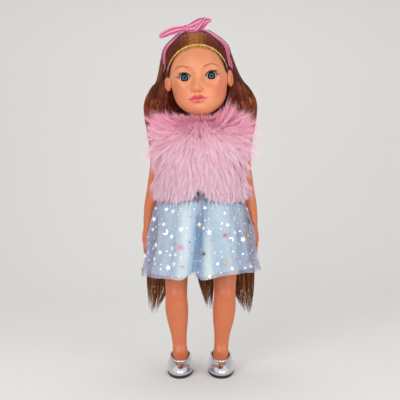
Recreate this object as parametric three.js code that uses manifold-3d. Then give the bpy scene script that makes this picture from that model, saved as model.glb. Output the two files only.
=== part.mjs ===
// A 46 cm vinyl play doll, dressed in a faux fur gilet, a gathered skirt with a net overskirt, a knotted
// satin headband and metallic pumps. She faces -Y and her left side is +X. The origin is on the floor
// between her shoes. Every length is in millimetres.
import * as THREE from "three";
import { mergeVertices } from "three/addons/utils/BufferGeometryUtils.js";
import Module from "manifold-3d";

const wasm = await Module();
wasm.setup();

// Heights of the figure, each measured from the one before it.
const soleThickness = 3.5;
const legLength = 200.5;
const waistRise = 44;
const chestRise = 60;
const neckRise = 43;
const headLift = 51;

// Clearances.
const gap = 0.4;
const skinWall = 2.5;

// Hip and shoulder joints.
const hipSpacing = 66;
const hipDomeRadius = 24;
const hipSeatClearance = 3.2;
const thighHalfWidth = 20.2;
const hipAxisY = 1.2;
const crotchHalfWidth = 11;
const shoulderHalfWidth = 40.5;
const shoulderAxisY = 2;
const shoulderRadius = 12.6;
const plugPostRadius = 4;
const plugFlangeRadius = 6;
const plugFlangeThickness = 2;
const plugReach = 8.5;

// Arms and hands.
const wristDrop = 108;
const handDrop = 134;
const armHalfWidth = 10;
const armForward = 9;
const handHalfWidth = 11;
const handThickness = 4.9;
const skirtAtWrist = 0.785;
const wristClearance = 9;

// Neck.
const neckRadius = 14.5;
const neckY = 4;
const neckPostRadius = 6.4;
const neckFlangeRadius = 10.5;
const headRecessRadius = 17.8;
const headPlateHeight = 7;
const headPlateThickness = 3;
const headHoleRadius = 12;
const headPostRadius = 8;
const headFlangeRadius = 15;
const headFlangeThickness = 2;
const headFlangeClearance = 2.5;
const neckWasherRadius = 11;
const neckWasherThickness = 2.2;
const headTiltDegrees = 4.5;
const pivotDepth = 2;

// Head.
const headHalfHeight = 57.5;
const headHalfWidth = 39.2;
const skullFullness = 4.3;
const faceDepth = 43;
const skullDepth = 45;
const headWall = 3;
const earHeight = 12;
const earDepth = 7.5;
const earThickness = 4.5;

// Eyes.
const eyeSpacing = 35.2;
const eyeForward = 26.5;
const eyeDrop = 9;
const eyeRadius = 9;
const corneaRise = 0.5;
const irisRadius = 5;
const lidThickness = 0.6;
const lidGap = 0.3;
const eyeOpeningWidth = 15.6;
const eyeOpeningHeight = 12.2;
const eyeOpeningLift = 0;
const eyeSocketGap = 0.5;
const eyeSocketWall = 1.4;
const eyePinRadius = 0.8;
const eyePinLength = 22;
const lidEdgeDegrees = 33;
const lidBackDegrees = 150;
const lashDropDegrees = 3;
const lashInnerDegrees = 10;
const lashOuterDegrees = 38;
const lashLength = 4.6;
const lashRiseDegrees = 16;

// Hair and headband.
const hairThickness = 3.2;
const sideHairThickness = 4;
const backHairThickness = 10;
const hairTempleY = -3;
const hairEarY = 9;
const napeDrop = 38;
const hairlineHalfWidth = 39;
const hairlineHeight = 36;
const braidRadius = 1.5;
const bandWidth = 10;
const bandThickness = 2;
const hairFallSpread = 72;
const hairFallY = 47.5;
const hairFallThickness = 11;
const hairFallLength = 330;
const hairFallTopRise = 56;

// Clothes.
const bodiceThickness = 1.2;
const giletClearance = 1.3;
const giletTopRise = 19;
const giletDrop = 17;
const giletHalfWidth = 61;
const giletShoulder = 68;
const giletFront = 50;
const giletBack = 39;
const furSlit = 1;
const collarHeight = 8.5;
const collarThickness = 9;
const waistbandHeight = 6;
const skirtLength = 116;
const skirtHalfWidth = 79;
const skirtFront = 61;
const skirtBack = 37;
const foldCount = 14;
const foldDepth = 2.6;
const satinThickness = 0.9;
const netThickness = 0.7;
const netGap = 1.1;
const netOverhang = 2;

// Shoes.
const shoeHalfWidth = 17;
const shoeToe = 46;
const shoeHeel = 22;
const shoeHeight = 19;
const insoleThickness = 1;
const footY = 0;
const footX = 27;

// Heights worked out from the figure.
const hipZ = soleThickness + legLength;
const waistZ = hipZ + waistRise;
const shoulderZ = waistZ + chestRise;
const neckTopZ = shoulderZ + neckRise;
const pivotZ = neckTopZ - pivotDepth;
const hipX = hipSpacing / 2;
const radians = THREE.MathUtils.degToRad;

const clamp = (value, low, high) => Math.min(Math.max(value, low), high);
const smooth = (from, to, value) => {
  const t = clamp((value - from) / (to - from), 0, 1);
  return t * t * (3 - 2 * t);
};
const bump = (value, centre, width) => Math.exp(-(((value - centre) / width) ** 2));

// Solids and meshes.
function solidOf(geometry) {
  const bare = geometry.clone();
  bare.deleteAttribute("normal");
  bare.deleteAttribute("uv");
  const merged = mergeVertices(bare, 1e-4);
  return new wasm.Manifold(
    new wasm.Mesh({
      numProp: 3,
      vertProperties: merged.attributes.position.array,
      triVerts: new Uint32Array(merged.index.array),
    }),
  );
}

function geometryOf(solid) {
  const mesh = solid.getMesh();
  const geometry = new THREE.BufferGeometry();
  geometry.setAttribute("position", new THREE.BufferAttribute(mesh.vertProperties, 3));
  geometry.setIndex(new THREE.BufferAttribute(mesh.triVerts, 1));
  const flat = geometry.toNonIndexed();
  flat.computeVertexNormals();
  return flat;
}

const cut = (solid, ...tools) => tools.reduce((left, tool) => left.subtract(tool), solid);
const join = (solid, ...others) => others.reduce((sum, other) => sum.add(other), solid);

function moved(geometry, x, y, z) {
  return geometry.clone().translate(x, y, z);
}

function block(lowX, highX, lowY, highY, lowZ, highZ) {
  const box = new THREE.BoxGeometry(highX - lowX, highY - lowY, highZ - lowZ);
  return solidOf(moved(box, (lowX + highX) / 2, (lowY + highY) / 2, (lowZ + highZ) / 2));
}

// A cylinder along X, Y or Z, given its two ends on that axis.
function rod(axis, radius, from, to, [a, b], sides = 12) {
  const tube = new THREE.CylinderGeometry(radius, radius, to - from, sides);
  const middle = (from + to) / 2;
  if (axis === "x") return solidOf(moved(tube.rotateZ(-Math.PI / 2), middle, a, b));
  if (axis === "y") return solidOf(moved(tube, a, middle, b));
  return solidOf(moved(tube.rotateX(Math.PI / 2), a, b, middle));
}

// A turned piece: points are [radius, height] from the axis, low to high, spun about Z at (x, y).
function turned(points, x, y, sides = 16) {
  const profile = points.map(([radius, height]) => new THREE.Vector2(radius, height));
  const lathe = new THREE.LatheGeometry(profile, sides);
  return solidOf(moved(lathe.rotateX(Math.PI / 2), x, y, 0));
}

function ball(radiusX, radiusY, radiusZ, x, y, z, detail = 12) {
  const sphere = new THREE.SphereGeometry(1, detail, Math.round(detail * 0.7));
  return solidOf(moved(sphere.scale(radiusX, radiusY, radiusZ), x, y, z));
}

// Skins rings of equal count into one closed body. Rings run counter-clockwise seen from where they go.
function loft(rings) {
  const count = rings[0].length;
  const points = rings.flat();
  const middle = (ring) => [0, 1, 2].map((k) => ring.reduce((sum, p) => sum + p[k], 0) / count);
  const low = points.push(middle(rings[0])) - 1;
  const high = points.push(middle(rings[rings.length - 1])) - 1;
  const faces = [];
  for (let i = 0; i < rings.length - 1; i++) {
    for (let j = 0; j < count; j++) {
      const a = i * count + j;
      const b = i * count + ((j + 1) % count);
      faces.push(a, b, b + count, a, b + count, a + count);
    }
  }
  const last = (rings.length - 1) * count;
  for (let j = 0; j < count; j++) {
    const next = (j + 1) % count;
    faces.push(next, j, low, last + j, last + next, high);
  }
  return bodyOf(points, faces);
}

// Joins rings of equal count end to end in a closed loop.
function hoop(rings) {
  const count = rings[0].length;
  const faces = [];
  rings.forEach((ring, i) => {
    for (let j = 0; j < count; j++) {
      const next = (j + 1) % count;
      const here = i * count;
      const there = ((i + 1) % rings.length) * count;
      faces.push(here + j, here + next, there + next, here + j, there + next, there + j);
    }
  });
  return bodyOf(rings.flat(), faces);
}

// A closed body from points and triangles, turned to face outwards.
function bodyOf(points, faces) {
  let volume = 0;
  for (let i = 0; i < faces.length; i += 3) {
    const [a, b, c] = faces.slice(i, i + 3).map((index) => points[index]);
    volume += a[0] * (b[1] * c[2] - b[2] * c[1]);
    volume += a[1] * (b[2] * c[0] - b[0] * c[2]);
    volume += a[2] * (b[0] * c[1] - b[1] * c[0]);
  }
  const outward = volume > 0 ? faces : [...faces].reverse();
  const geometry = new THREE.BufferGeometry();
  geometry.setAttribute("position", new THREE.Float32BufferAttribute(points.flat(), 3));
  geometry.setIndex(outward);
  return solidOf(geometry);
}

// A smooth function of height through rows of [height, value, value, ...], lowest row first.
function through(rows) {
  const slope = (j, k) => {
    const before = rows[Math.max(j - 1, 0)];
    const after = rows[Math.min(j + 1, rows.length - 1)];
    return (after[k] - before[k]) / (after[0] - before[0]);
  };
  return (height) => {
    const found = rows.findIndex((row) => row[0] >= height);
    const j = clamp(found < 0 ? rows.length - 1 : found, 1, rows.length - 1);
    const span = rows[j][0] - rows[j - 1][0];
    const t = clamp((height - rows[j - 1][0]) / span, 0, 1);
    return rows[j].slice(1).map((value, index) => {
      const k = index + 1;
      const start = rows[j - 1][k];
      const bend = t * (1 - t) * ((1 - t) * slope(j - 1, k) - t * slope(j, k)) * span;
      return start + (value - start) * t * t * (3 - 2 * t) + bend;
    });
  };
}

// An oval ring at a height: half a width each side of x, and its own depth to the front and the back.
function oval(height, x, y, halfWidth, front, back, count) {
  return Array.from({ length: count }, (_, i) => {
    const turn = (i / count) * 2 * Math.PI;
    const depth = Math.sin(turn) < 0 ? front : back;
    return [x + halfWidth * Math.cos(turn), y + depth * Math.sin(turn), height];
  });
}

const steps = (from, to, count) =>
  Array.from({ length: count + 1 }, (_, i) => from + ((to - from) * i) / count);
function mirrored(solid) {
  const geometry = geometryOf(solid).scale(-1, 1, 1);
  const place = geometry.attributes.position;
  for (let i = 0; i < place.count; i += 3) {
    const first = [place.getX(i), place.getY(i), place.getZ(i)];
    place.setXYZ(i, place.getX(i + 1), place.getY(i + 1), place.getZ(i + 1));
    place.setXYZ(i + 1, ...first);
  }
  geometry.computeVertexNormals();
  return solidOf(geometry);
}

// Materials, one for each finish.
const finish = (color, roughness, metalness = 0) =>
  new THREE.MeshStandardMaterial({ color, roughness, metalness });
const vinyl = finish(0xe8a07c, 0.45);
const hardPlastic = finish(0xd9d3c8, 0.5);
const eyeWhite = finish(0xf6f6f4, 0.1);
const lashHair = finish(0x2a1a14, 0.6);
const steel = finish(0x9a9ca0, 0.35, 1);
const brownHair = finish(0x6b3a20, 0.5);
const goldenHair = finish(0xc9924f, 0.4);
const pinkSatin = finish(0xf07fae, 0.35);
const pinkFur = finish(0xf3a9cb, 0.9);
const blueSatin = finish(0xaec6e6, 0.4);
const blueNet = finish(0xc3cde6, 0.6);
const silverLeather = finish(0xc9c9cc, 0.25, 0.9);
const blackRubber = finish(0x1c1c1c, 0.7);
const paleLining = finish(0xe9d9cf, 0.8);

const doll = new THREE.Group();
const head = new THREE.Group();
head.position.set(0, neckY, pivotZ);
head.rotation.y = -radians(headTiltDegrees);
doll.add(head);

function piece(name, solid, material, parent = doll) {
  const mesh = new THREE.Mesh(geometryOf(solid), material);
  mesh.name = name;
  parent.add(mesh);
  return solid;
}

// A solid made in the head's own frame, as it stands in the doll's frame.
function inDollFrame(solid) {
  head.updateMatrix();
  return solidOf(geometryOf(solid).applyMatrix4(head.matrix));
}

// Torso.
// Rows of height, half width, front depth and back depth.
const torsoRows = [
  [hipZ - 21, 10, 12, 14],
  [hipZ - 17, 22, 19, 21],
  [hipZ - 8, 36, 24, 26],
  [hipZ + 6, 40, 26, 28],
  [waistZ - 22, 38, 26, 26],
  [waistZ, 32, 24, 22],
  [waistZ + 26, 34.5, 26, 23],
  [shoulderZ - 14, 41, 24, 24],
  [shoulderZ, 45, 20, 22],
  [shoulderZ + 10, 42, 16, 18],
  [shoulderZ + 18, 25, 13.5, 15.5],
  [shoulderZ + 25, neckRadius, neckRadius, neckRadius],
  [neckTopZ, neckRadius, neckRadius, neckRadius],
];
const torsoShape = through(torsoRows);

function torsoRing(height, grow, count = 16) {
  const [halfWidth, front, back] = torsoShape(height);
  const y = neckY * smooth(shoulderZ, shoulderZ + 25, height);
  return oval(height, 0, y, halfWidth + grow, front + grow, back + grow, count);
}

function torsoLoft(low, high, grow) {
  const heights = torsoRows.map(([height]) => height);
  const between = heights.filter((height) => height > low + 1 && height < high - 1);
  return loft([low, ...between, high].map((height) => torsoRing(height, grow)));
}

function hipCylinders(radius, innerX) {
  const reach = 80;
  return [-reach, innerX].map((from) => {
    const to = from < 0 ? -innerX : reach;
    return rod("x", radius, from, to, [hipAxisY, hipZ], 18);
  });
}

const hipSeatRadius = hipDomeRadius + hipSeatClearance;
const torsoFloor = hipZ - 21;

function torsoShell() {
  const outside = cut(
    torsoLoft(torsoFloor, neckTopZ, 0),
    block(shoulderHalfWidth, 90, -60, 60, 0, 400),
    block(-90, -shoulderHalfWidth, -60, 60, 0, 400),
    ...hipCylinders(hipSeatRadius, crotchHalfWidth),
  );
  const inside = cut(
    torsoLoft(torsoFloor + skinWall, neckTopZ - headPlateThickness, -skinWall),
    block(shoulderHalfWidth - skinWall, 90, -60, 60, 0, 400),
    block(-90, skinWall - shoulderHalfWidth, -60, 60, 0, 400),
    ...hipCylinders(hipSeatRadius + skinWall, crotchHalfWidth - skinWall),
  );
  const holeRadius = plugPostRadius + gap;
  return cut(
    outside,
    inside,
    rod("x", holeRadius, -60, 60, [shoulderAxisY, shoulderZ]),
    rod("x", holeRadius, -crotchHalfWidth - 2, crotchHalfWidth + 2, [hipAxisY, hipZ]),
    rod("z", neckPostRadius + gap, neckTopZ - 10, neckTopZ + 10, [0, neckY]),
  );
}

piece("torso_shell", torsoShell(), vinyl);

// A mushroom-headed plug along X that holds a limb to the torso. wallX is the inside of the torso's wall.
function limbPlug(wallX, endX, y, z) {
  const flangeX = wallX - gap;
  return join(
    rod("x", plugFlangeRadius, flangeX - plugFlangeThickness, flangeX, [y, z]),
    rod("x", plugPostRadius, flangeX - 1, endX, [y, z]),
  );
}

// Arms. Rows of height below the shoulder axis, x, y, half width and half depth, lowest row first.
const armInnerX = shoulderHalfWidth + gap;
const armX = armInnerX + shoulderRadius;
const armSplay = skirtAtWrist * skirtHalfWidth + wristClearance - armX;
const handFlare = 4.5;
const armShape = through([
  [-wristDrop, armX + armSplay, armForward, 0.66 * armHalfWidth, 0.76 * armHalfWidth],
  [-wristDrop + 8, armX + 0.94 * armSplay, 1.05 * armForward, 0.74 * armHalfWidth, 0.8 * armHalfWidth],
  [-0.78 * wristDrop, armX + 0.77 * armSplay, armForward, 0.94 * armHalfWidth, 0.96 * armHalfWidth],
  [-0.63 * wristDrop, armX + 0.6 * armSplay, 0.83 * armForward, 0.96 * armHalfWidth, 1.02 * armHalfWidth],
  [-0.39 * wristDrop, armX + 0.34 * armSplay, 0.56 * armForward, 1.02 * armHalfWidth, 1.1 * armHalfWidth],
  [-0.17 * wristDrop, armX + 0.11 * armSplay, 0.33 * armForward, 1.16 * armHalfWidth, 1.2 * armHalfWidth],
  [0, armX, shoulderAxisY, shoulderRadius, shoulderRadius],
]);
const handX = armX + armSplay + handFlare;
const handShape = through([
  [-handDrop, handX, armForward + 3, 0.82 * handThickness, 0.91 * handHalfWidth],
  [-handDrop + 8, handX - 1, armForward + 2.5, handThickness, handHalfWidth],
  [-wristDrop - 6, handX - 3.6, armForward + 0.6, 1.14 * handThickness, 0.78 * handHalfWidth],
  [-wristDrop, handX - handFlare, armForward, 0.66 * armHalfWidth, 0.76 * armHalfWidth],
]);

function armSolid() {
  const armRings = steps(-wristDrop, 0, 7).map((height) => {
    const [x, y, halfWidth, halfDepth] = armShape(height);
    return oval(shoulderZ + height, x, y, halfWidth, halfDepth, halfDepth, 12);
  });
  const domeRings = [28, 56, 78].map((degrees) => {
    const radius = shoulderRadius * Math.cos(radians(degrees));
    const height = shoulderZ + shoulderRadius * Math.sin(radians(degrees));
    return oval(height, armX, shoulderAxisY, radius, radius, radius, 12);
  });
  const handRings = steps(-handDrop, -wristDrop, 4).map((height) => {
    const [x, y, halfWidth, halfDepth] = handShape(height);
    return oval(shoulderZ + height, x, y, halfWidth, halfDepth, halfDepth, 10);
  });
  handRings.pop();
  const cuff = 0.7 * armHalfWidth;
  handRings.push(oval(shoulderZ - wristDrop + 2, handX - handFlare, armForward, 0.6 * armHalfWidth, cuff, cuff, 10));
  const arm = join(loft([...armRings, ...domeRings]), loft(handRings), ...fingers());
  const bore = rod("x", plugPostRadius + gap, armInnerX - 1, armInnerX + plugReach, [shoulderAxisY, shoulderZ]);
  const disc = rod("x", shoulderRadius - 1, armInnerX, armX, [shoulderAxisY, shoulderZ]);
  return cut(join(arm, disc), block(0, armInnerX, -60, 60, 0, 400), bore);
}

function fingers() {
  const knuckleZ = shoulderZ - handDrop + 4;
  const palmX = handX - 0.5;
  const made = [0, 1, 2, 3].map((i) => {
    const y = armForward - 4.6 + i * 4.9;
    const length = 19 - Math.abs(i - 1.2) * 2.6;
    return finger([palmX, y, knuckleZ], [palmX + 1.5, y - 1.5, knuckleZ - length], 2.5);
  });
  const thumbRoot = [handX - 3, armForward - 6.5, shoulderZ - wristDrop - 9];
  const thumbTip = [handX - 2.5, armForward - 13, shoulderZ - wristDrop - 27];
  return [...made, finger(thumbRoot, thumbTip, 2.7)];
}

function finger(root, tip, radius) {
  const from = new THREE.Vector3(...root);
  const along = new THREE.Vector3(...tip).sub(from);
  const shape = new THREE.CapsuleGeometry(radius, along.length(), 1, 5);
  const upright = new THREE.Vector3(0, 1, 0);
  shape.applyQuaternion(new THREE.Quaternion().setFromUnitVectors(upright, along.clone().normalize()));
  const middle = from.clone().addScaledVector(along, 0.5);
  return solidOf(shape.translate(middle.x, middle.y, middle.z));
}

const leftArm = piece("left_arm", armSolid(), vinyl);
const rightArm = piece("right_arm", mirrored(leftArm), vinyl);
const shoulderPlug = limbPlug(
  shoulderHalfWidth - skinWall,
  armInnerX + plugReach - gap,
  shoulderAxisY,
  shoulderZ,
);
piece("left_shoulder_plug", shoulderPlug, hardPlastic);
piece("right_shoulder_plug", mirrored(shoulderPlug), hardPlastic);

// Legs. Rows of height, x, front depth, back depth and half width.
const insoleTop = soleThickness + gap + insoleThickness;
const footBottom = insoleTop + gap;
const kneeZ = soleThickness + legLength * 0.51;
const legShape = through([
  [footBottom, footX, shoeToe - 6, shoeHeel - 4.5, shoeHalfWidth - 3.6],
  [footBottom + 5, footX, shoeToe - 5, shoeHeel - 3.5, shoeHalfWidth - 2.8],
  [footBottom + 9, footX, shoeToe - 10, shoeHeel - 3.6, shoeHalfWidth - 3.6],
  [footBottom + 13, footX, shoeToe - 23, shoeHeel - 4.4, shoeHalfWidth - 5],
  [footBottom + 18, footX + 0.2, shoeToe - 34, shoeHeel - 5.2, shoeHalfWidth - 6.4],
  [footBottom + 27, footX + 0.8, 6.5, 14.5, 9.6],
  [footBottom + 42, footX + 2, 7, 15.5, 10.4],
  [kneeZ - 36, hipX - 2, 10.5, 18.5, 14.2],
  [kneeZ - 22, hipX - 1, 12, 19.5, 15.4],
  [kneeZ - 4, hipX - 0.5, 14, 17, 14.6],
  [kneeZ + 8, hipX - 0.5, 14.5, 16.5, 14.8],
  [kneeZ + 32, hipX - 0.2, 14.5, 18.5, 16.6],
  [hipZ - 42, hipX, 17, 20, 19.2],
  [hipZ - 19, hipX, hipDomeRadius - hipAxisY - 5.3, hipDomeRadius + hipAxisY - 4.7, thighHalfWidth],
  [hipZ - 9, hipX, hipDomeRadius - hipAxisY - 2.4, hipDomeRadius + hipAxisY - 1.8, thighHalfWidth],
  [hipZ, hipX, hipDomeRadius - hipAxisY, hipDomeRadius + hipAxisY, thighHalfWidth],
]);

function legSolid() {
  const heights = [
    ...[0, 5, 9, 13, 18].map((rise) => footBottom + rise),
    ...steps(footBottom + 27, hipZ, 9),
  ];
  const rings = heights.map((height) => {
    const [x, front, back, halfWidth] = legShape(height);
    return oval(height, x, footY, halfWidth, front, back, 16);
  });
  const dome = [24, 46, 64, 79].map((degrees) => {
    const flat = Math.cos(radians(degrees));
    const height = hipZ + hipDomeRadius * Math.sin(radians(degrees));
    const depth = hipDomeRadius * flat;
    return oval(height, hipX, hipAxisY, thighHalfWidth * Math.sqrt(flat), depth, depth, 16);
  });
  const bore = rod("x", plugPostRadius + gap, 0, crotchHalfWidth + 1 + plugReach, [hipAxisY, hipZ]);
  return cut(loft([...rings, ...dome]), block(-20, crotchHalfWidth + 1, -60, 60, 0, 400), bore);
}

const leftLeg = piece("left_leg", legSolid(), vinyl);
piece("right_leg", mirrored(leftLeg), vinyl);
const hipPlug = limbPlug(
  crotchHalfWidth - skinWall,
  crotchHalfWidth + 1 + plugReach - gap,
  hipAxisY,
  hipZ,
);
piece("left_hip_plug", hipPlug, hardPlastic);
piece("right_hip_plug", mirrored(hipPlug), hardPlastic);

// Shoes.
const shoeOutline = (height, grow, count = 18) =>
  oval(height, footX, 0, shoeHalfWidth + grow, shoeToe + grow, shoeHeel + grow, count);

const soleRise = 1.2;

// A round bead of piping along the edge of the shoe's mouth.
const rimRadius = 1.1;

function rimSolid() {
  const z = soleThickness + gap + shoeHeight + gap + rimRadius;
  const bead = steps(0, 360, 18).slice(0, 18).map((degrees) => {
    const out = [Math.cos(radians(degrees)), Math.sin(radians(degrees))];
    const path = [footX + (mouthHalfWidth + rimRadius) * out[0], mouthY + (mouthHalfLength + rimRadius) * out[1]];
    return steps(0, 360, 5).slice(0, 5).map((around) => {
      const reach = rimRadius * Math.cos(radians(around));
      return [path[0] + reach * out[0], path[1] + reach * out[1], z + rimRadius * Math.sin(radians(around))];
    });
  });
  return cut(hoop(bead), grownLeg());
}

function soleSolid() {
  return loft([shoeOutline(0, -1.6), shoeOutline(soleRise, -0.4), shoeOutline(soleThickness, 0)]);
}

function insoleSolid() {
  const low = soleThickness + gap;
  return loft([shoeOutline(low, -2.6), shoeOutline(low + insoleThickness, -2.6)]);
}

// Rows of height above the sole, toe, heel and half width.
const upperShape = through([
  [0, shoeToe, shoeHeel, shoeHalfWidth],
  [5, shoeToe + 0.4, shoeHeel + 0.2, shoeHalfWidth + 0.3],
  [9, shoeToe - 3.5, shoeHeel, shoeHalfWidth - 0.4],
  [13, shoeToe - 14, shoeHeel - 0.6, shoeHalfWidth - 1.8],
  [shoeHeight, shoeToe - 26, shoeHeel - 1.2, shoeHalfWidth - 4],
]);
const shoeWall = 1.6;
const mouthHalfLength = 19;
const mouthHalfWidth = 11.4;
const mouthY = -1.5;
const mouthBottom = 8;

function upperSolid() {
  const base = soleThickness + gap;
  const rings = (grow, low) =>
    steps(low, shoeHeight, 4).map((rise) => {
      const [toe, heel, halfWidth] = upperShape(rise);
      return oval(base + rise, footX, 0, halfWidth + grow, toe + grow, heel + grow, 18);
    });
  const outside = loft(rings(0, 0));
  const inside = loft([
    ...rings(-shoeWall, 0).slice(0, 4),
    oval(base + shoeHeight + 3, footX, mouthY, mouthHalfWidth, mouthHalfLength, mouthHalfLength, 18),
  ]);
  const mouth = loft([
    oval(base + mouthBottom, footX, mouthY, mouthHalfWidth, mouthHalfLength, mouthHalfLength, 18),
    oval(base + shoeHeight + 5, footX, mouthY, mouthHalfWidth + 1, mouthHalfLength + 2, mouthHalfLength + 1, 18),
  ]);
  const deep = loft([shoeOutline(base - 1, -shoeWall), shoeOutline(base + 4, -shoeWall)]);
  return cut(outside, inside, mouth, deep, grownLeg());
}

// The leg and foot a little larger all round, to cut its room in what it fits.
function grownLeg() {
  const rings = steps(footBottom, footBottom + 40, 7).map((height) => {
    const [x, front, back, halfWidth] = legShape(height);
    return oval(height, x, footY, halfWidth + gap, front + gap, back + gap, 18);
  });
  return loft(rings);
}

[["left", (solid) => solid], ["right", mirrored]].forEach(([side, turnedTo]) => {
  piece(`${side}_shoe_sole`, turnedTo(soleSolid()), blackRubber);
  piece(`${side}_shoe_insole`, turnedTo(insoleSolid()), paleLining);
  piece(`${side}_shoe_upper`, turnedTo(upperSolid()), silverLeather);
  piece(`${side}_shoe_rim`, turnedTo(rimSolid()), silverLeather);
});

// Neck plug: turns in the neck, and carries the head on a loose flange that lets it lean.
const washerLow = neckTopZ + gap;
const washerHigh = washerLow + neckWasherThickness;
const headFlangeLow = pivotZ + headPlateHeight + headPlateThickness + headFlangeClearance;
piece(
  "neck_plug",
  turned(
    [
      [0, neckTopZ - 10],
      [neckFlangeRadius, neckTopZ - 10],
      [neckFlangeRadius, neckTopZ - headPlateThickness - gap],
      [neckPostRadius, neckTopZ - headPlateThickness - gap],
      [neckPostRadius, washerLow],
      [neckWasherRadius, washerLow],
      [neckWasherRadius, washerHigh],
      [headPostRadius, washerHigh],
      [headPostRadius, headFlangeLow],
      [headFlangeRadius, headFlangeLow],
      [headFlangeRadius, headFlangeLow + headFlangeThickness],
      [0, headFlangeLow + headFlangeThickness],
    ],
    0,
    neckY,
  ),
  hardPlastic,
);

// Head. Its own frame has its origin at the neck's pivot, and levels count from the head's centre.
const jawStart = -8;
const headWidth = (level) => headHalfWidth + skullFullness * smooth(13, 40, Math.abs(level + 5));
const headMiddle = (level) => {
  const low = clamp((jawStart - level) / (headHalfHeight + jawStart), 0, 1);
  return 1 - 20 * low ** 1.4;
};

// How far the face stands forward of the plain skull at a point seen from the front.
function faceRelief(x, level) {
  const side = Math.abs(x);
  const nose = smooth(-1, -24, level) * (1 - smooth(-26.5, -31.5, level));
  return (
    8.2 * nose * bump(x, 0, 3.2 + 2 * nose) +
    3 * bump(side, 5.4, 2.6) * bump(level, -26.8, 2.9) +
    1.6 * bump(side, 21, 11) * bump(level, -27, 10) +
    2 * bump(x, 0, 12) * bump(level, -38.5, 8) +
    2.4 * bump(x, 0, 8.5) * bump(level, -35.4, 2.1) +
    2.8 * bump(x, 0, 7) * bump(level, -41.4, 2.4) -
    1.6 * bump(x, 0, 10) * bump(level, -38.3, 1) -
    1.1 * bump(x, 0, 8) * bump(level, -46.2, 2.6) +
    1.8 * bump(x, 0, 9) * bump(level, -51, 6) -
    2.2 * bump(side, eyeSpacing / 2, 9) * bump(level, -eyeDrop, 7)
  );
}

// The point of the head's surface for a direction from its centre, grown outwards by grow.
function headPoint([sx, sy, sz], grow = 0, relief = 1) {
  const level = headHalfHeight * sz;
  const x = (headWidth(level) + grow) * sx;
  const depth = (sy < 0 ? faceDepth : skullDepth) + grow;
  const front = smooth(0, -0.35, sy) * relief;
  const y = headMiddle(level) + depth * sy - front * faceRelief(x, level);
  return [x, y, headLift + level + grow * sz];
}

// Rings round the nose, closer together over the face.
function headRings(grow, relief, ringCount, count) {
  return steps(0.02, 0.98, ringCount).map((share) => {
    const away = Math.PI * (share + 0.09 * Math.sin(2 * Math.PI * share) * -1);
    return Array.from({ length: count }, (_, i) => {
      const turn = (i / count) * 2 * Math.PI;
      const direction = [Math.sin(away) * Math.cos(turn), -Math.cos(away), Math.sin(away) * Math.sin(turn)];
      const amount = typeof grow === "function" ? grow(direction) : grow;
      return headPoint(direction, amount, relief);
    });
  });
}

const headSolid = (grow, relief = 1, ringCount = 16, count = 22) =>
  loft(headRings(grow, relief, ringCount, count));

const eyeX = eyeSpacing / 2;
const eyeZ = headLift - eyeDrop;
const lidOuterRadius = eyeRadius + lidGap + lidThickness;
const socketInnerRadius = lidOuterRadius + eyeSocketGap;
const socketOuterRadius = socketInnerRadius + eyeSocketWall;

function eyeOpening(x) {
  const almond = new THREE.Shape();
  almond.absellipse(0, -eyeOpeningLift, eyeOpeningWidth / 2, eyeOpeningHeight / 2, 0, 2 * Math.PI);
  const tunnel = new THREE.ExtrudeGeometry(almond, { depth: 30, bevelEnabled: false, curveSegments: 9 });
  return solidOf(moved(tunnel.rotateX(Math.PI / 2), x, -eyeForward, eyeZ));
}

function ears(grow = 0) {
  return [-1, 1].map((side) => {
    const x = side * (headHalfWidth + 1.6);
    const shape = new THREE.SphereGeometry(1, 9, 6).scale(earThickness + grow, earDepth + grow, earHeight + grow);
    return solidOf(moved(shape.rotateZ(side * radians(18)), x, 3, headLift - eyeDrop));
  });
}

function headShell() {
  const plateTop = headPlateHeight + headPlateThickness;
  const inside = cut(headSolid(-headWall, 0, 9, 14), block(-80, 80, -80, 80, -80, plateTop));
  const room = socketOuterRadius + 2 * gap;
  const eyeRoom = [-eyeX, eyeX].map((x) => ball(room, room, room, x, -eyeForward, eyeZ, 12));
  return cut(
    join(headSolid(0), ...ears()),
    inside,
    eyeOpening(-eyeX),
    eyeOpening(eyeX),
    ...eyeRoom,
    rod("z", headRecessRadius, -30, headPlateHeight, [0, 0], 18),
    rod("z", headHoleRadius, -30, 30, [0, 0], 16),
  );
}

piece("head_shell", headShell(), vinyl, head);

// Sleep eyes: each ball carries a lid, lashes and a weight, and swings on a pin in its own socket.
function eyeball(x) {
  const profile = [[0, -eyeRadius - corneaRise]];
  for (let degrees = 15; degrees <= 180; degrees += 15) {
    const away = radians(degrees);
    const rise = corneaRise * smooth(1, 0, (eyeRadius * Math.sin(away)) / irisRadius) * (degrees < 90 ? 1 : 0);
    profile.push([(eyeRadius + rise) * Math.sin(away), -(eyeRadius + rise) * Math.cos(away)]);
  }
  profile[profile.length - 1][0] = 0;
  const lathe = new THREE.LatheGeometry(profile.map(([r, y]) => new THREE.Vector2(r, y)), 14);
  const round = solidOf(moved(lathe, x, -eyeForward, eyeZ));
  return cut(round, rod("x", eyePinRadius + lidGap, x - 20, x + 20, [-eyeForward, eyeZ], 10));
}

// A point at a radius from the eye's centre: lift turns up about the pin, and aside turns along it.
function eyePoint(x, radius, lift, aside) {
  const across = radius * Math.cos(radians(aside));
  return [
    x + radius * Math.sin(radians(aside)),
    -eyeForward - across * Math.cos(radians(lift)),
    eyeZ + across * Math.sin(radians(lift)),
  ];
}

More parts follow.
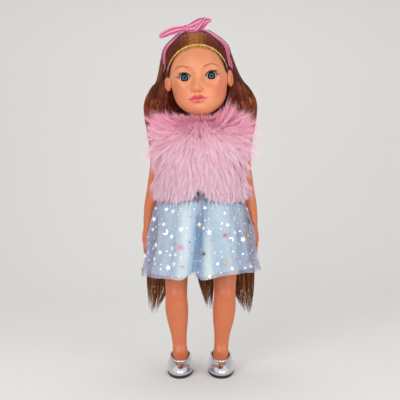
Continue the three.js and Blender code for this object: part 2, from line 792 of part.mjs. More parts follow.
// A curved wall between two facing grids of points, rows by columns, closed along its four edges.
function wallBetween(outer, inner) {
  const rows = outer.length;
  const columns = outer[0].length;
  const behind = rows * columns;
  const faces = [];
  for (let i = 0; i < rows - 1; i++) {
    for (let j = 0; j < columns - 1; j++) {
      const a = i * columns + j;
      const b = a + 1;
      faces.push(a, b, b + columns, a, b + columns, a + columns);
      faces.push(behind + b, behind + a, behind + b + columns);
      faces.push(behind + b + columns, behind + a, behind + a + columns);
    }
  }
  const edge = (a, b) => faces.push(b, a, behind + a, b, behind + a, behind + b);
  for (let j = 0; j < columns - 1; j++) {
    edge(j, j + 1);
    edge((rows - 1) * columns + j + 1, (rows - 1) * columns + j);
  }
  for (let i = 0; i < rows - 1; i++) {
    edge((i + 1) * columns, i * columns);
    edge(i * columns + columns - 1, (i + 1) * columns + columns - 1);
  }
  return bodyOf([...outer.flat(), ...inner.flat()], faces);
}

function eyelid(x) {
  const shell = [lidOuterRadius, eyeRadius + lidGap].map((radius) =>
    steps(lidEdgeDegrees, lidBackDegrees, 7).map((lift) =>
      steps(-66, 66, 6).map((aside) => eyePoint(x, radius, lift, aside)),
    ),
  );
  return wallBetween(...shell);
}

function lashes(x) {
  const outward = Math.sign(x);
  const lift = lidEdgeDegrees - lashDropDegrees;
  const rise = radians(lashRiseDegrees);
  const half = 0.15;
  return loft(
    steps(-lashInnerDegrees, lashOuterDegrees, 7).map((fan) => {
      const aside = outward * fan;
      const [rootX, rootY, rootZ] = eyePoint(x, eyeRadius + 1.5 * lidGap, lift, aside);
      const splay = Math.sin(radians(aside)) * 0.9;
      const tip = [
        rootX + lashLength * splay,
        rootY - lashLength * Math.cos(rise) * Math.cos(radians(aside)),
        rootZ + lashLength * Math.sin(rise),
      ];
      const thin = half / 2;
      return [
        [rootX, rootY, rootZ - half],
        [tip[0], tip[1], tip[2] - thin],
        [tip[0], tip[1], tip[2] + thin],
        [rootX, rootY, rootZ + half],
      ];
    }),
  );
}

const weightTop = -1.5;
const weightDrop = 16;
const weightWidth = 4;

function eyeWeight(x) {
  const side = new THREE.Shape();
  side.moveTo(eyeRadius + lidGap, weightTop);
  side.lineTo(eyeRadius + 2, weightTop);
  side.lineTo(eyeRadius + 3.5, -weightDrop);
  side.lineTo(eyeRadius - 2, -weightDrop);
  side.lineTo(eyeRadius - 2, -weightDrop + 5);
  side.lineTo(eyeRadius + lidGap, -weightDrop + 7);
  const plate = new THREE.ExtrudeGeometry(side, { depth: weightWidth, bevelEnabled: false });
  plate.rotateX(Math.PI / 2).rotateZ(Math.PI / 2);
  return solidOf(moved(plate, x - weightWidth / 2, -eyeForward, eyeZ));
}

function eyeSocket(x) {
  const low = 4.5;
  const high = 3.5;
  const at = (radius, y) => new THREE.Vector2(Math.sqrt(radius ** 2 - y ** 2), y);
  const ys = steps(-high, low, 2);
  const outline = [
    ...ys.map((y) => at(socketOuterRadius, y)),
    ...[...ys].reverse().map((y) => at(socketInnerRadius, y)),
    at(socketOuterRadius, -high),
  ];
  const ring = solidOf(moved(new THREE.LatheGeometry(outline, 16), x, -eyeForward, eyeZ));
  const holes = rod("x", eyePinRadius + gap, x - 20, x + 20, [-eyeForward, eyeZ], 10);
  return cut(ring, holes);
}

[["left", eyeX], ["right", -eyeX]].forEach(([side, x]) => {
  piece(`${side}_eyeball`, eyeball(x), eyeWhite, head);
  piece(`${side}_eyelid`, eyelid(x), vinyl, head);
  piece(`${side}_eyelashes`, lashes(x), lashHair, head);
  piece(`${side}_eye_weight`, eyeWeight(x), steel, head);
  const pin = rod("x", eyePinRadius, x - eyePinLength / 2, x + eyePinLength / 2, [-eyeForward, eyeZ], 10);
  piece(`${side}_eye_pin`, pin, steel, head);
  piece(`${side}_eye_socket`, eyeSocket(x), hardPlastic, head);
});

// Hair. How thick it lies on the head in a direction from the head's centre.
function hairDepth([sx, sy, sz]) {
  const side = sideHairThickness * smooth(0.55, 0.95, Math.abs(sx));
  const back = (backHairThickness - hairThickness) * smooth(-0.1, 0.6, sy) * smooth(1, 0.3, sz);
  return hairThickness + Math.max(side, back);
}

const hairGrown = (grow) => headSolid((direction) => hairDepth(direction) + grow, 0, 15, 20);

// Everything forward of the hairline and the ears, and everything under the nape.
function hairless() {
  const face = new THREE.Shape();
  const middle = headLift - 5;
  face.moveTo(-hairlineHalfWidth, middle - 80);
  face.lineTo(hairlineHalfWidth, middle - 80);
  face.lineTo(hairlineHalfWidth, middle);
  steps(10, 170, 16).forEach((degrees) => {
    const turn = radians(degrees);
    face.lineTo(hairlineHalfWidth * Math.cos(turn), middle + hairlineHeight * Math.sin(turn));
  });
  face.lineTo(-hairlineHalfWidth, middle);
  const tunnel = new THREE.ExtrudeGeometry(face, { depth: 80, bevelEnabled: false }).rotateX(Math.PI / 2);
  return [
    solidOf(moved(tunnel, 0, hairTempleY, 0)),
    block(-90, 90, -90, hairEarY, -60, headLift - 2),
    block(-90, 90, -90, 90, -60, headLift - napeDrop),
  ];
}

const hairCapSolid = cut(hairGrown(0), headSolid(gap + 2, 0, 12, 16), ...ears(gap), ...hairless());
piece("hair_cap", hairCapSolid, brownHair, head);

// The small twisted braid that edges the hairline.
function hairlineBraid() {
  const turns = 26;
  const rings = steps(-74, 74, 32).map((degrees, i) => {
    const inset = 2 * (braidRadius + gap);
    const x = (hairlineHalfWidth - inset) * Math.sin(radians(degrees));
    const level = -5 + (hairlineHeight - inset) * Math.cos(radians(degrees));
    const sz = level / headHalfHeight;
    const sx = x / headWidth(level);
    const sy = -Math.sqrt(Math.max(1 - sx ** 2 - sz ** 2, 0.0004));
    const size = Math.hypot(sx, sy, sz);
    const [px, py, pz] = headPoint([sx / size, sy / size, sz / size], braidRadius + gap, 0);
    const twist = (i / 32) * turns * Math.PI;
    const tangent = radians(degrees);
    return Array.from({ length: 5 }, (_, k) => {
      const turn = (k / 5) * 2 * Math.PI;
      const reach = braidRadius * (1 + 0.25 * Math.cos(2 * (turn - twist)));
      const outward = reach * Math.cos(turn);
      return [px + outward * Math.sin(tangent), py + reach * Math.sin(turn), pz + outward * Math.cos(tangent)];
    });
  });
  return cut(loft(rings), headSolid(gap, 1));
}

piece("hairline_braid", hairlineBraid(), goldenHair, head);

// Headband: a loop of padded satin over the hair, behind the ears and under the back hair.
// Rows of degrees from the crown, and the direction that the band's middle takes there.
const bandPath = through([
  [-12, -0.2, -0.36, 0.92],
  [0, 0, -0.37, 0.93],
  [12, 0.2, -0.36, 0.92],
  [45, 0.66, -0.33, 0.67],
  [72, 0.93, -0.18, 0.33],
  [90, 0.95, 0.08, 0.17],
  [105, 0.93, 0.33, 0],
  [125, 0.8, 0.52, -0.34],
  [160, 0.3, 0.8, -0.52],
  [180, 0, 0.84, -0.55],
  [200, -0.3, 0.8, -0.52],
]);

function bandDirection(degrees) {
  const turned = ((((degrees + 180) % 360) + 360) % 360) - 180;
  const [x, y, z] = bandPath(Math.abs(turned));
  return new THREE.Vector3(turned < 0 ? -x : x, y, z).normalize();
}

function bandPoint(degrees, across, rise) {
  const here = bandDirection(degrees);
  const along = bandDirection(degrees + 1).sub(bandDirection(degrees - 1)).normalize();
  const sideways = here.clone().cross(along).normalize();
  const direction = here.addScaledVector(sideways, across / headHalfHeight).normalize().toArray();
  return headPoint(direction, hairDepth(direction) + gap + rise, 0);
}

function headband() {
  const half = bandWidth / 2;
  const rings = steps(0, 360, 30).slice(0, 30).map((degrees) => [
    bandPoint(degrees, -half, 0),
    bandPoint(degrees, 0, 0.2),
    bandPoint(degrees, half, 0),
    bandPoint(degrees, half * 0.92, bandThickness * 0.7),
    bandPoint(degrees, 0, bandThickness),
    bandPoint(degrees, -half * 0.92, bandThickness * 0.7),
  ]);
  return cut(hoop(rings), hairGrown(gap * 0.7), ...ears(gap));
}

piece("headband", headband(), pinkSatin, head);

// Bow. Each end is a folded leaf of satin from the knot to its tip.
const knotAt = new THREE.Vector3(-8.5, -27, headLift + headHalfHeight + 1);
const knotRadius = 6;
const bowEnds = {
  bow_right_end: { tip: [-46, -24, headLift + 50], halfWidth: 6.5, thickness: 4.5, lift: 3 },
  bow_left_end: { tip: [23, -28, headLift + headHalfHeight + 7], halfWidth: 8.5, thickness: 5, lift: 1.5 },
};
const knotSolid = cut(
  ball(knotRadius, knotRadius * 0.8, knotRadius, ...knotAt.toArray(), 12),
  hairGrown(gap * 2 + bandThickness),
);

function bowEnd({ tip, halfWidth, thickness, lift }) {
  const end = new THREE.Vector3(...tip);
  const along = end.clone().sub(knotAt);
  const out = new THREE.Vector3(0, -1, 0);
  const wide = along.clone().cross(out).normalize();
  const rings = steps(0.06, 1, 7).map((share) => {
    const swell = Math.sin(Math.PI * (0.16 + 0.8 * share) ** 0.8) ** 0.7 + 0.12;
    const middle = knotAt.clone().addScaledVector(along, share);
    middle.z += lift * Math.sin(Math.PI * share);
    return Array.from({ length: 10 }, (_, k) => {
      const turn = (k / 10) * 2 * Math.PI;
      return middle
        .clone()
        .addScaledVector(wide, halfWidth * swell * Math.cos(turn))
        .addScaledVector(out, (thickness / 2) * swell * Math.sin(turn))
        .toArray();
    });
  });
  const clear = ball(knotRadius + gap, knotRadius * 0.8 + gap, knotRadius + gap, ...knotAt.toArray(), 12);
  return cut(
    loft(rings),
    clear,
    hairGrown(gap * 2 + bandThickness),
  );
}

piece("bow_knot", knotSolid, pinkSatin, head);
Object.entries(bowEnds).forEach(([name, end]) => piece(name, bowEnd(end), pinkSatin, head));

// Dress bodice and waistband.
const bodiceTop = shoulderZ - 16;
const bodiceSolid = cut(
  torsoLoft(waistZ - 2, bodiceTop, gap + bodiceThickness),
  torsoLoft(waistZ - 3, bodiceTop + 1, gap),
  block(armInnerX - gap, 90, -60, 60, 0, 400),
  block(-90, gap - armInnerX, -60, 60, 0, 400),
);
piece("dress_bodice", bodiceSolid, blueSatin);
const bandLow = waistZ - 2 - gap - waistbandHeight;
const waistbandSolid = cut(
  torsoLoft(bandLow, bandLow + waistbandHeight, gap + 2.4),
  torsoLoft(bandLow - 1, bandLow + waistbandHeight + 1, gap * 1.5),
);
piece("skirt_waistband", waistbandSolid, blueSatin);

// Skirt. Rows of share of the drop from the waist, half width, front depth and back depth.
const skirtTop = bandLow - gap;
const skirtHem = skirtTop - skirtLength + 7;
const skirtShape = through([
  [0, 38, 28, 25],
  [0.12, 0.69 * skirtHalfWidth, 0.64 * skirtFront, 0.86 * skirtBack],
  [0.36, skirtAtWrist * skirtHalfWidth, 0.8 * skirtFront, 0.95 * skirtBack],
  [0.7, 0.87 * skirtHalfWidth, 0.9 * skirtFront, 0.94 * skirtBack],
  [1, skirtHalfWidth - foldDepth, skirtFront - foldDepth, skirtBack - foldDepth],
]);

function skirtRing(share, grow, drop, count = foldCount * 3) {
  const [halfWidth, front, back] = skirtShape(clamp(share, 0, 1));
  return Array.from({ length: count }, (_, i) => {
    const turn = (i / count) * 2 * Math.PI;
    const wave = foldDepth * smooth(0, 0.6, share) * Math.cos(foldCount * turn + Math.PI / 2);
    const out = grow + wave;
    const depth = Math.sin(turn) < 0 ? front : back;
    return [(halfWidth + out) * Math.cos(turn), (depth + out) * Math.sin(turn), skirtTop - share * drop];
  });
}

function skirtSolid(grow, thickness, drop) {
  const shares = [0, 0.14, 0.5, 1];
  const outer = loft([...shares].reverse().map((share) => skirtRing(share, grow + thickness, drop)));
  const inner = loft([1.02, ...[...shares].reverse(), -0.02].map((share) => skirtRing(share, grow, drop)));
  return cut(outer, inner);
}

const satinDrop = skirtTop - skirtHem;
piece("satin_skirt", skirtSolid(0, satinThickness, satinDrop), blueSatin);
const netGrow = satinThickness + netGap;
piece("net_overskirt", skirtSolid(netGrow, netThickness, satinDrop + netOverhang), blueNet);

// Gilet: thick pile on all sides, open at the front and round the arms.
const giletHem = waistZ - giletDrop;
const giletTop = shoulderZ + giletTopRise;
// Rows of height, half width, front depth and back depth.
const giletShape = through([
  [giletHem, giletHalfWidth - 1, giletFront, giletBack - 2],
  [giletHem + 14, giletHalfWidth, giletFront, giletBack - 1],
  [giletHem + 38, giletHalfWidth, 0.94 * giletFront, giletBack],
  [shoulderZ - 20, giletShoulder - 5, 0.86 * giletFront, giletBack],
  [shoulderZ - 2, giletShoulder, 0.74 * giletFront, giletBack],
  [shoulderZ + 8, 0.94 * giletShoulder, 0.62 * giletFront, 0.95 * giletBack],
  [giletTop, 0.5 * giletShoulder, 0.52 * giletFront, 0.8 * giletBack],
]);

function giletBody() {
  const outside = loft(
    steps(giletHem, giletTop, 7).map((height) => {
      const [halfWidth, front, back] = giletShape(height);
      return oval(height, 0, 0, halfWidth, front, back, 24);
    }),
  );
  const underneath = gap + bodiceThickness + giletClearance;
  const skirtRoom = loft(
    [0.5, 0.14, 0, -0.12].map((share) => skirtRing(share, netGrow + netThickness + gap, satinDrop)),
  );
  const waistRoom = torsoLoft(bandLow - 2, bandLow + waistbandHeight + 3, gap + 3.2);
  return cut(outside, torsoLoft(giletHem - 10, giletTop + 4, underneath), skirtRoom, waistRoom, ...armRoom());
}

// The arms a little larger all round, where the pile parts for them.
function armRoom() {
  const clearance = 1.2;
  const rings = steps(-80, 0, 4).map((height) => {
    const [x, y, halfWidth, halfDepth] = armShape(height);
    const depth = halfDepth + clearance;
    return oval(shoulderZ + height, x, y, halfWidth + clearance, depth, depth, 14);
  });
  const radius = shoulderRadius + clearance;
  const dome = [28, 56, 78].map((degrees) => {
    const flat = radius * Math.cos(radians(degrees));
    return oval(shoulderZ + radius * Math.sin(radians(degrees)), armX, shoulderAxisY, flat, flat, flat, 14);
  });
  const disc = rod("x", radius, shoulderHalfWidth - 2, armX, [shoulderAxisY, shoulderZ]);
  const left = join(loft([...rings, ...dome]), disc);
  return [left, mirrored(left)];
}

// A wire hook at the throat on her left front, and the bar it catches on her right front.
const wire = 0.5;
const hookReach = 5;
const barHalfHeight = 2.6;
const hookZ = giletTop - 8;
const hookY = 5 - giletShape(hookZ)[1];

const barX = 0.4 - 4 * wire;
const bar = join(
  rod("z", wire, hookZ - barHalfHeight, hookZ + barHalfHeight, [barX, hookY], 8),
  rod("x", wire, -hookReach, barX, [hookY, hookZ - barHalfHeight + wire], 8),
  rod("x", wire, -hookReach, barX, [hookY, hookZ + barHalfHeight - wire], 8),
);
const hookTipX = barX - 2 * wire - gap;
const hook = join(
  rod("x", wire, hookTipX, hookReach, [hookY + 2 * wire + gap, hookZ], 8),
  rod("y", wire, hookY - 2 * wire, hookY + 3 * wire, [hookTipX, hookZ], 8),
);
piece("gilet_hook", hook, steel);
piece("gilet_bar", bar, steel);

const hookRoom = block(
  -hookReach - gap,
  hookReach + gap,
  hookY - 2 * wire - gap,
  hookY + 3 * wire + 2 * gap,
  hookZ - barHalfHeight - 2 * gap,
  hookZ + barHalfHeight + 2 * gap,
);
const gilet = cut(giletBody(), hookRoom);
const aside = 2 * giletShoulder;
const above = 2 * shoulderZ;
const frontSide = block(-aside, aside, -aside, -gap / 2, 0, above);
const backSide = block(-aside, aside, gap / 2, aside, 0, above);
const leftSide = block(furSlit, aside, -aside, aside, 0, above);
const rightSide = block(-aside, -furSlit, -aside, aside, 0, above);
piece("gilet_left_front", gilet.intersect(frontSide).intersect(leftSide), pinkFur);
piece("gilet_right_front", gilet.intersect(frontSide).intersect(rightSide), pinkFur);
piece("gilet_back", gilet.intersect(backSide), pinkFur);

// Collar of longer pile round the neck.
const collarLow = giletTop + gap;
const collarInner = neckRadius + gap * 2;
const collarSolid = cut(
  turned(
    [
      [0, collarLow],
      [collarInner + collarThickness + 2, collarLow],
      [collarInner + collarThickness, collarLow + collarHeight],
      [0, collarLow + collarHeight],
    ],
    0,
    neckY,
  ),
  torsoLoft(collarLow - 3, collarLow + collarHeight + 3, gap * 2),
  block(-furSlit, furSlit, -60, 0, 0, 500),
);
piece("gilet_collar", collarSolid, pinkFur);

// Long hair: three locks that come down from under the cap, over her back. Rows of drop from the top, x,
// y, half width and half thickness.
const fallTop = pivotZ + hairFallTopRise;
const half = hairFallThickness / 2;
const sideLock = [
  [0, 0.56, -20, 9, 8],
  [26, 0.66, -17, 17, 11],
  [56, 0.7, -11, 21, 9.5],
  [80, 0.68, -3.5, 22, 6.5],
  [106, 0.64, 0, 21, half],
  [250, 0.62, 0, 18, half],
  [300, 0.76, 0, 10, half * 0.7],
  [hairFallLength, 0.83, 0, 3.5, half * 0.4],
];
const sideRows = (side) =>
  sideLock.map(([drop, x, y, halfWidth, thick]) => [drop, side * x * hairFallSpread, y, halfWidth, thick]);
const middleRows = [
  [26, 0, 0.5, 20, 7],
  [56, 0, 0, 24, 8],
  [80, 0, 0, 25, 6.5],
  [106, 0, 0, 24, half],
  [240, 3, 0, 20, half],
  [290, 10, 0, 10, half * 0.7],
  [hairFallLength - 6, 12, 0, 3.5, half * 0.4],
];
const underHair = inDollFrame(hairGrown(2 * gap + bandThickness + 0.9));
const locks = { hair_fall_left: sideRows(1), hair_fall_middle: middleRows, hair_fall_right: sideRows(-1) };
Object.entries(locks).forEach(([name, rows]) => {
  const shape = through(rows);
  const rings = rows.map(([drop]) => {
    const [x, y, halfWidth, thick] = shape(drop);
    return oval(fallTop - drop, x, hairFallY + y, halfWidth, thick, thick, 14);
  });
  const lock = cut(loft(rings), underHair);
  piece(name, name === "hair_fall_middle" ? cut(lock, ...sideRoom()) : lock, brownHair);
});

// Room for the two side locks beside the middle one.
function sideRoom() {
  return [-1, 1].map((side) =>
    loft(
      sideRows(side).map(([drop, x, y, halfWidth, thick]) =>
        oval(fallTop - drop, x, hairFallY + y, halfWidth + gap, thick + gap, thick + gap, 14),
      ),
    ),
  );
}

export default doll;
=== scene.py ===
# A dressed vinyl play doll, 46 cm tall: hard vinyl skin, sleep eyes, combed hair with a golden braid, a
# satin headband, a faux fur gilet, a gathered satin skirt under printed net, and metallic pumps.
# Lengths are in millimetres in the doll's own frame, and are turned to metres where a mesh is made.
import math

import bpy
import numpy as np
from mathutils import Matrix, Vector


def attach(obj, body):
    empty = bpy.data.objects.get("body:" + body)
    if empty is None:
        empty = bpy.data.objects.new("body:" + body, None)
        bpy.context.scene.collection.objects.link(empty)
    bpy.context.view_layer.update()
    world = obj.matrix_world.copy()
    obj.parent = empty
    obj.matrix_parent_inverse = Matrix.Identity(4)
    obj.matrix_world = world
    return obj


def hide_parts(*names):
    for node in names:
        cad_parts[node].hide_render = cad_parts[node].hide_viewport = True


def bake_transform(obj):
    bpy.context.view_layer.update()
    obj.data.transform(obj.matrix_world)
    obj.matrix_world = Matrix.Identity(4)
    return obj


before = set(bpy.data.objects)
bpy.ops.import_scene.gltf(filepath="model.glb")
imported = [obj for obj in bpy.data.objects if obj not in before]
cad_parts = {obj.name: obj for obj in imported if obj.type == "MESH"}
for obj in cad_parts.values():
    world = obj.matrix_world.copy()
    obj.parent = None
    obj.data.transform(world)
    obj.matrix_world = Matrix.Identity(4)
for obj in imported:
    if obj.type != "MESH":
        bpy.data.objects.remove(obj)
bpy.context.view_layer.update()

MM = 0.001
# Each side of the doll, and the sign of its x.
SIDES = (("left", 1.0), ("right", -1.0))
# The head leans on the neck's pivot. Its centre is this far above it, with its half height and its depths.
HEAD_ROLL = math.radians(4.5)
NECK_PIVOT = np.array([0.0, 4.0, 349.0])
HEAD_CENTRE = 51.0
HEAD_HALF = 57.5
HEAD_FRONT = 43.0
HEAD_BACK = 45.0
# Beyond the head to each side, and below it, for tools that cut right through it.
FAR = 90.0
BELOW = -200.0
# The eyes, in the head's frame. The level is from its centre, and the half width is of the opening.
EYE_X = 17.6
EYE_Y = -26.5
EYE_LEVEL = -9.0
EYE_Z = HEAD_CENTRE + EYE_LEVEL
EYE_RADIUS = 9.0
EYE_HALF = 7.5
# The open lids: their radius, and how far their edge is lifted about the pin, in degrees.
LID_RADIUS = 9.85
LID_EDGE = 34
# The hairline: an oval about this level, with its half width and its rise.
HAIRLINE_LEVEL = -5
HAIRLINE_WIDE = 39
HAIRLINE_RISE = 36
# The middle of the left shoulder.
SHOULDER = np.array([53.5, 2.0, 308.0])
# The voxels that fuse the parts of an arm.
FUSE_SIZE = 0.65
chance = np.random.default_rng(4)


# Numbers and directions.
def hex_colour(text):
    """An sRGB hex colour as the linear colour that Blender's nodes take."""
    parts = [int(text[i:i + 2], 16) / 255 for i in (1, 3, 5)]
    linear = [p / 12.92 if p <= 0.04045 else ((p + 0.055) / 1.055) ** 2.4 for p in parts]
    return (*linear, 1.0)


def smooth(low, high, value):
    t = np.clip((value - low) / (high - low), 0, 1)
    return t * t * (3 - 2 * t)


def bump(value, centre, width):
    return np.exp(-(((value - centre) / width) ** 2))


def through(rows, at):
    """Smooth values at each height, on a first axis, through rows of a height and its values."""
    rows = np.asarray(rows, float)
    heights = rows[:, 0]
    values = rows[:, 1:]
    slopes = np.gradient(values, heights, axis=0)
    at = np.clip(np.asarray(at, float), heights[0], heights[-1])
    j = np.clip(np.searchsorted(heights, at) - 1, 0, len(heights) - 2)
    span = (heights[j + 1] - heights[j])[..., None]
    t = (at - heights[j])[..., None] / span
    found = values[j] * (2 * t**3 - 3 * t**2 + 1) + slopes[j] * span * (t**3 - 2 * t**2 + t)
    found = found + values[j + 1] * (3 * t**2 - 2 * t**3) + slopes[j + 1] * span * (t**3 - t**2)
    return np.moveaxis(found, -1, 0)


def vectors(x, y, z):
    """Points from their coordinates, which may be arrays or numbers."""
    return np.stack(np.broadcast_arrays(x, y, z), axis=-1)


def unit(ways):
    return ways / np.maximum(np.linalg.norm(ways, axis=-1, keepdims=True), 1e-9)


def full_turn(count):
    """Even steps of a full turn, in radians."""
    return np.arange(count) / count * 2 * np.pi


def flipped(sign):
    """Factors that mirror points to the doll's other side where the sign is -1."""
    return vectors(sign, 1.0, 1.0)


def oval_at(turn, z, shape, grow=0.0, centre=(0.0, 0.0)):
    """Points of level ovals. shape is the half width, the depth in front and the depth behind."""
    wide, front, back = shape
    depth = np.where(np.sin(turn) < 0, front, back) + grow
    return vectors(centre[0] + (wide + grow) * np.cos(turn), centre[1] + depth * np.sin(turn), z)


# Camera and room.
def select_only(piece):
    bpy.ops.object.select_all(action="DESELECT")
    piece.select_set(True)
    bpy.context.view_layer.objects.active = piece


def place_camera():
    lens = bpy.data.cameras.new("photo_camera")
    lens.lens = 66.8
    lens.sensor_width = 36
    camera = bpy.data.objects.new("photo_camera", lens)
    camera.location = (-0.0007, -1.0, 0.230)
    camera.rotation_euler = (math.radians(90), 0, 0)
    bpy.context.collection.objects.link(camera)
    bpy.context.scene.camera = camera


def place_light(name, location, energy, size, target):
    bpy.ops.object.light_add(type="AREA", location=location)
    lamp = bpy.context.object
    lamp.name = name
    lamp.data.energy = energy
    lamp.data.size = size
    lamp.rotation_euler = (Vector(target) - Vector(location)).to_track_quat("-Z", "Y").to_euler()


# Shader nodes.
def add(tree, kind, sockets=None, **settings):
    """Adds a shader node. sockets maps an input's name or number to a value or to an output."""
    node = tree.nodes.new("ShaderNode" + kind)
    for name, value in settings.items():
        setattr(node, name, value)
    for name, value in (sockets or {}).items():
        if isinstance(value, bpy.types.NodeSocket):
            tree.links.new(value, node.inputs[name])
        else:
            node.inputs[name].default_value = value
    return node


def start_material(name, base, **sockets):
    """A material of one shader. sockets names inputs of the shader, with _ for a space."""
    material = bpy.data.materials.new(name)
    material.use_nodes = True
    shader = material.node_tree.nodes["Principled BSDF"]
    shader.inputs["Base Color"].default_value = hex_colour(base)
    for socket, value in sockets.items():
        shader.inputs[socket.replace("_", " ")].default_value = value
    return material, material.node_tree, shader


def object_place(tree):
    return add(tree, "TexCoord").outputs["Object"]


def stored(tree, name, output="Fac"):
    """What was stored for each point of the piece under a name."""
    return add(tree, "Attribute", attribute_name=name).outputs[output]


def noise(tree, place, scale, detail=2.0):
    return add(tree, "TexNoise", {"Vector": place, "Scale": scale, "Detail": detail}).outputs["Fac"]


def remap(tree, value, low, high, first, last, **settings):
    """Takes a value between low and high to one between first and last."""
    return add(tree, "MapRange", {0: value, 1: low, 2: high, 3: first, 4: last}, **settings).outputs[0]


def calculate(tree, operation, *values, **settings):
    return add(tree, "Math", dict(enumerate(values)), operation=operation, **settings).outputs[0]


def mix(tree, factor, first, second, blend="MIX"):
    sockets = {"Factor": factor, "A": first, "B": second}
    return add(tree, "Mix", sockets, data_type="RGBA", blend_type=blend).outputs["Result"]


def colour_ramp(tree, factor, stops, mode="LINEAR"):
    ramp = add(tree, "ValToRGB", {"Fac": factor})
    ramp.color_ramp.interpolation = mode
    elements = ramp.color_ramp.elements
    while len(elements) < len(stops):
        elements.new(0.5)
    for element, (place, colour) in zip(elements, stops):
        element.position = place
        element.color = hex_colour(colour)
    return ramp.outputs["Color"]


def connect(tree, shader, source, socket="Base Color"):
    tree.links.new(source, shader.inputs[socket])


def relief(tree, shader, height, strength, distance):
    """Raises the surface's shading by a height."""
    raised = add(tree, "Bump", {"Height": height, "Strength": strength, "Distance": distance})
    connect(tree, shader, raised.outputs["Normal"], "Normal")


# A pale paper sweep: matt, with nothing on it.
def paper_sweep():
    material, _, _ = start_material("matt_paper", "#f4f2f0", Roughness=0.9)
    bpy.ops.mesh.primitive_plane_add(size=1, location=(0, 0.1, 0))
    sweep = bpy.context.object
    sweep.name = "paper_sweep"
    sweep.scale = (5, 2.6, 1)
    bpy.ops.object.transform_apply(location=True, rotation=False, scale=True)
    bpy.ops.object.mode_set(mode="EDIT")
    bpy.ops.mesh.select_all(action="DESELECT")
    bpy.ops.object.mode_set(mode="OBJECT")
    for edge in sweep.data.edges:
        edge.select = all(sweep.data.vertices[v].co.y > 1 for v in edge.vertices)
    bpy.ops.object.mode_set(mode="EDIT")
    bpy.ops.mesh.extrude_region_move(TRANSFORM_OT_translate={"value": (0, 0, 2.2)})
    bpy.ops.object.mode_set(mode="OBJECT")
    modify(sweep, "BEVEL", width=0.7, segments=16)
    bpy.ops.object.shade_smooth()
    sweep.data.materials.append(material)


def light_room():
    world = bpy.data.worlds.new("studio")
    bpy.context.scene.world = world
    world.use_nodes = True
    tree = world.node_tree
    background = tree.nodes["Background"]
    background.inputs["Color"].default_value = (1, 1, 1, 1)
    # The walls look white to the camera and in reflections, and light the doll at about half that.
    seen = add(tree, "LightPath").outputs
    plain = calculate(tree, "ADD", seen["Is Camera Ray"], seen["Is Glossy Ray"])
    clear = calculate(tree, "ADD", plain, seen["Is Transmission Ray"], use_clamp=True)
    connect(tree, background, calculate(tree, "MULTIPLY_ADD", clear, 0.42, 0.48), "Strength")
    place_light("key_softbox", (-0.6, -1.4, 0.7), 11.5, 0.9, (0, 0, 0.25))
    place_light("fill_softbox", (1.0, -1.1, 0.35), 8, 1.0, (0, 0, 0.22))
    place_light("top_softbox", (0, 0.5, 1.4), 3, 0.9, (0, 0, 0.3))
    bpy.context.scene.view_settings.view_transform = "Standard"


# Meshes.
def mesh_piece(name, points, faces, material, smooth_faces=True):
    """A piece from points in millimetres and a list of faces."""
    mesh = bpy.data.meshes.new(name)
    mesh.from_pydata((np.asarray(points, float) * MM).tolist(), [], faces)
    mesh.update()
    piece = bpy.data.objects.new(name, mesh)
    bpy.context.collection.objects.link(piece)
    mesh.materials.append(material)
    if smooth_faces:
        mesh.shade_smooth()
    return piece


def grid_faces(rows, columns, round_columns=True, round_rows=False):
    """The quads of a grid of points. Its columns and its rows may close on themselves."""
    row = np.arange(rows if round_rows else rows - 1)[:, None] * columns
    above = (row + columns) % (rows * columns)
    across = np.arange(columns if round_columns else columns - 1)
    beside = (across + 1) % columns
    corners = [row + across, row + beside, above + beside, above + across]
    return np.stack(corners, axis=-1).reshape(-1, 4).tolist()


def skin_piece(name, rings, material):
    """A closed piece through rings of equal count, an array of rings by points by three."""
    rows, columns = rings.shape[:2]
    points = np.concatenate([rings.reshape(-1, 3), rings[:1].mean(axis=1), rings[-1:].mean(axis=1)])
    around = np.arange(columns)
    beside = (around + 1) % columns
    low = np.full(columns, rows * columns)
    last = (rows - 1) * columns
    caps = np.concatenate([np.stack([beside, around, low], axis=1),
                           np.stack([last + around, last + beside, low + 1], axis=1)])
    piece = mesh_piece(name, points, grid_faces(rows, columns) + caps.tolist(), material)
    face_outwards(piece)
    return piece


def hoop_piece(name, rings, material):
    """A closed piece through rings of equal count, whose last ring joins its first."""
    rows, columns = rings.shape[:2]
    piece = mesh_piece(name, rings.reshape(-1, 3), grid_faces(rows, columns, round_rows=True), material)
    face_outwards(piece)
    return piece


def cloth_shell(name, points, thick, material):
    """A sheet over a grid of points, given its thickness inwards."""
    faces = grid_faces(*points.shape[:2], round_columns=False)
    piece = mesh_piece(name, points.reshape(-1, 3), faces, material)
    modify(piece, "SOLIDIFY", thickness=thick * MM)
    return piece


def on_both_sides(sheet, values):
    """The values of a sheet's grid for its outer points and then for its inner ones."""
    return values.ravel()[np.arange(len(sheet.data.vertices)) % values.size]


def face_outwards(piece):
    select_only(piece)
    bpy.ops.object.mode_set(mode="EDIT")
    bpy.ops.mesh.select_all(action="SELECT")
    bpy.ops.mesh.normals_make_consistent(inside=False)
    bpy.ops.object.mode_set(mode="OBJECT")


def modify(piece, kind, **settings):
    """Applies a modifier of a kind to a piece."""
    change = piece.modifiers.new("change", kind)
    for name, value in settings.items():
        setattr(change, name, value)
    select_only(piece)
    bpy.ops.object.modifier_apply(modifier="change")


def with_tool(piece, tool, operation="DIFFERENCE"):
    """Cuts piece by tool, or joins it on, and takes the tool away."""
    modify(piece, "BOOLEAN", operation=operation, object=tool, solver="EXACT")
    bpy.data.objects.remove(tool)


def join_parts(name, parts):
    select_only(parts[0])
    for part in parts:
        part.select_set(True)
    bpy.ops.object.join()
    parts[0].name = name
    return parts[0]


def points_of(piece):
    """A piece's points in millimetres."""
    flat = np.empty(len(piece.data.vertices) * 3)
    piece.data.vertices.foreach_get("co", flat)
    return flat.reshape(-1, 3) / MM


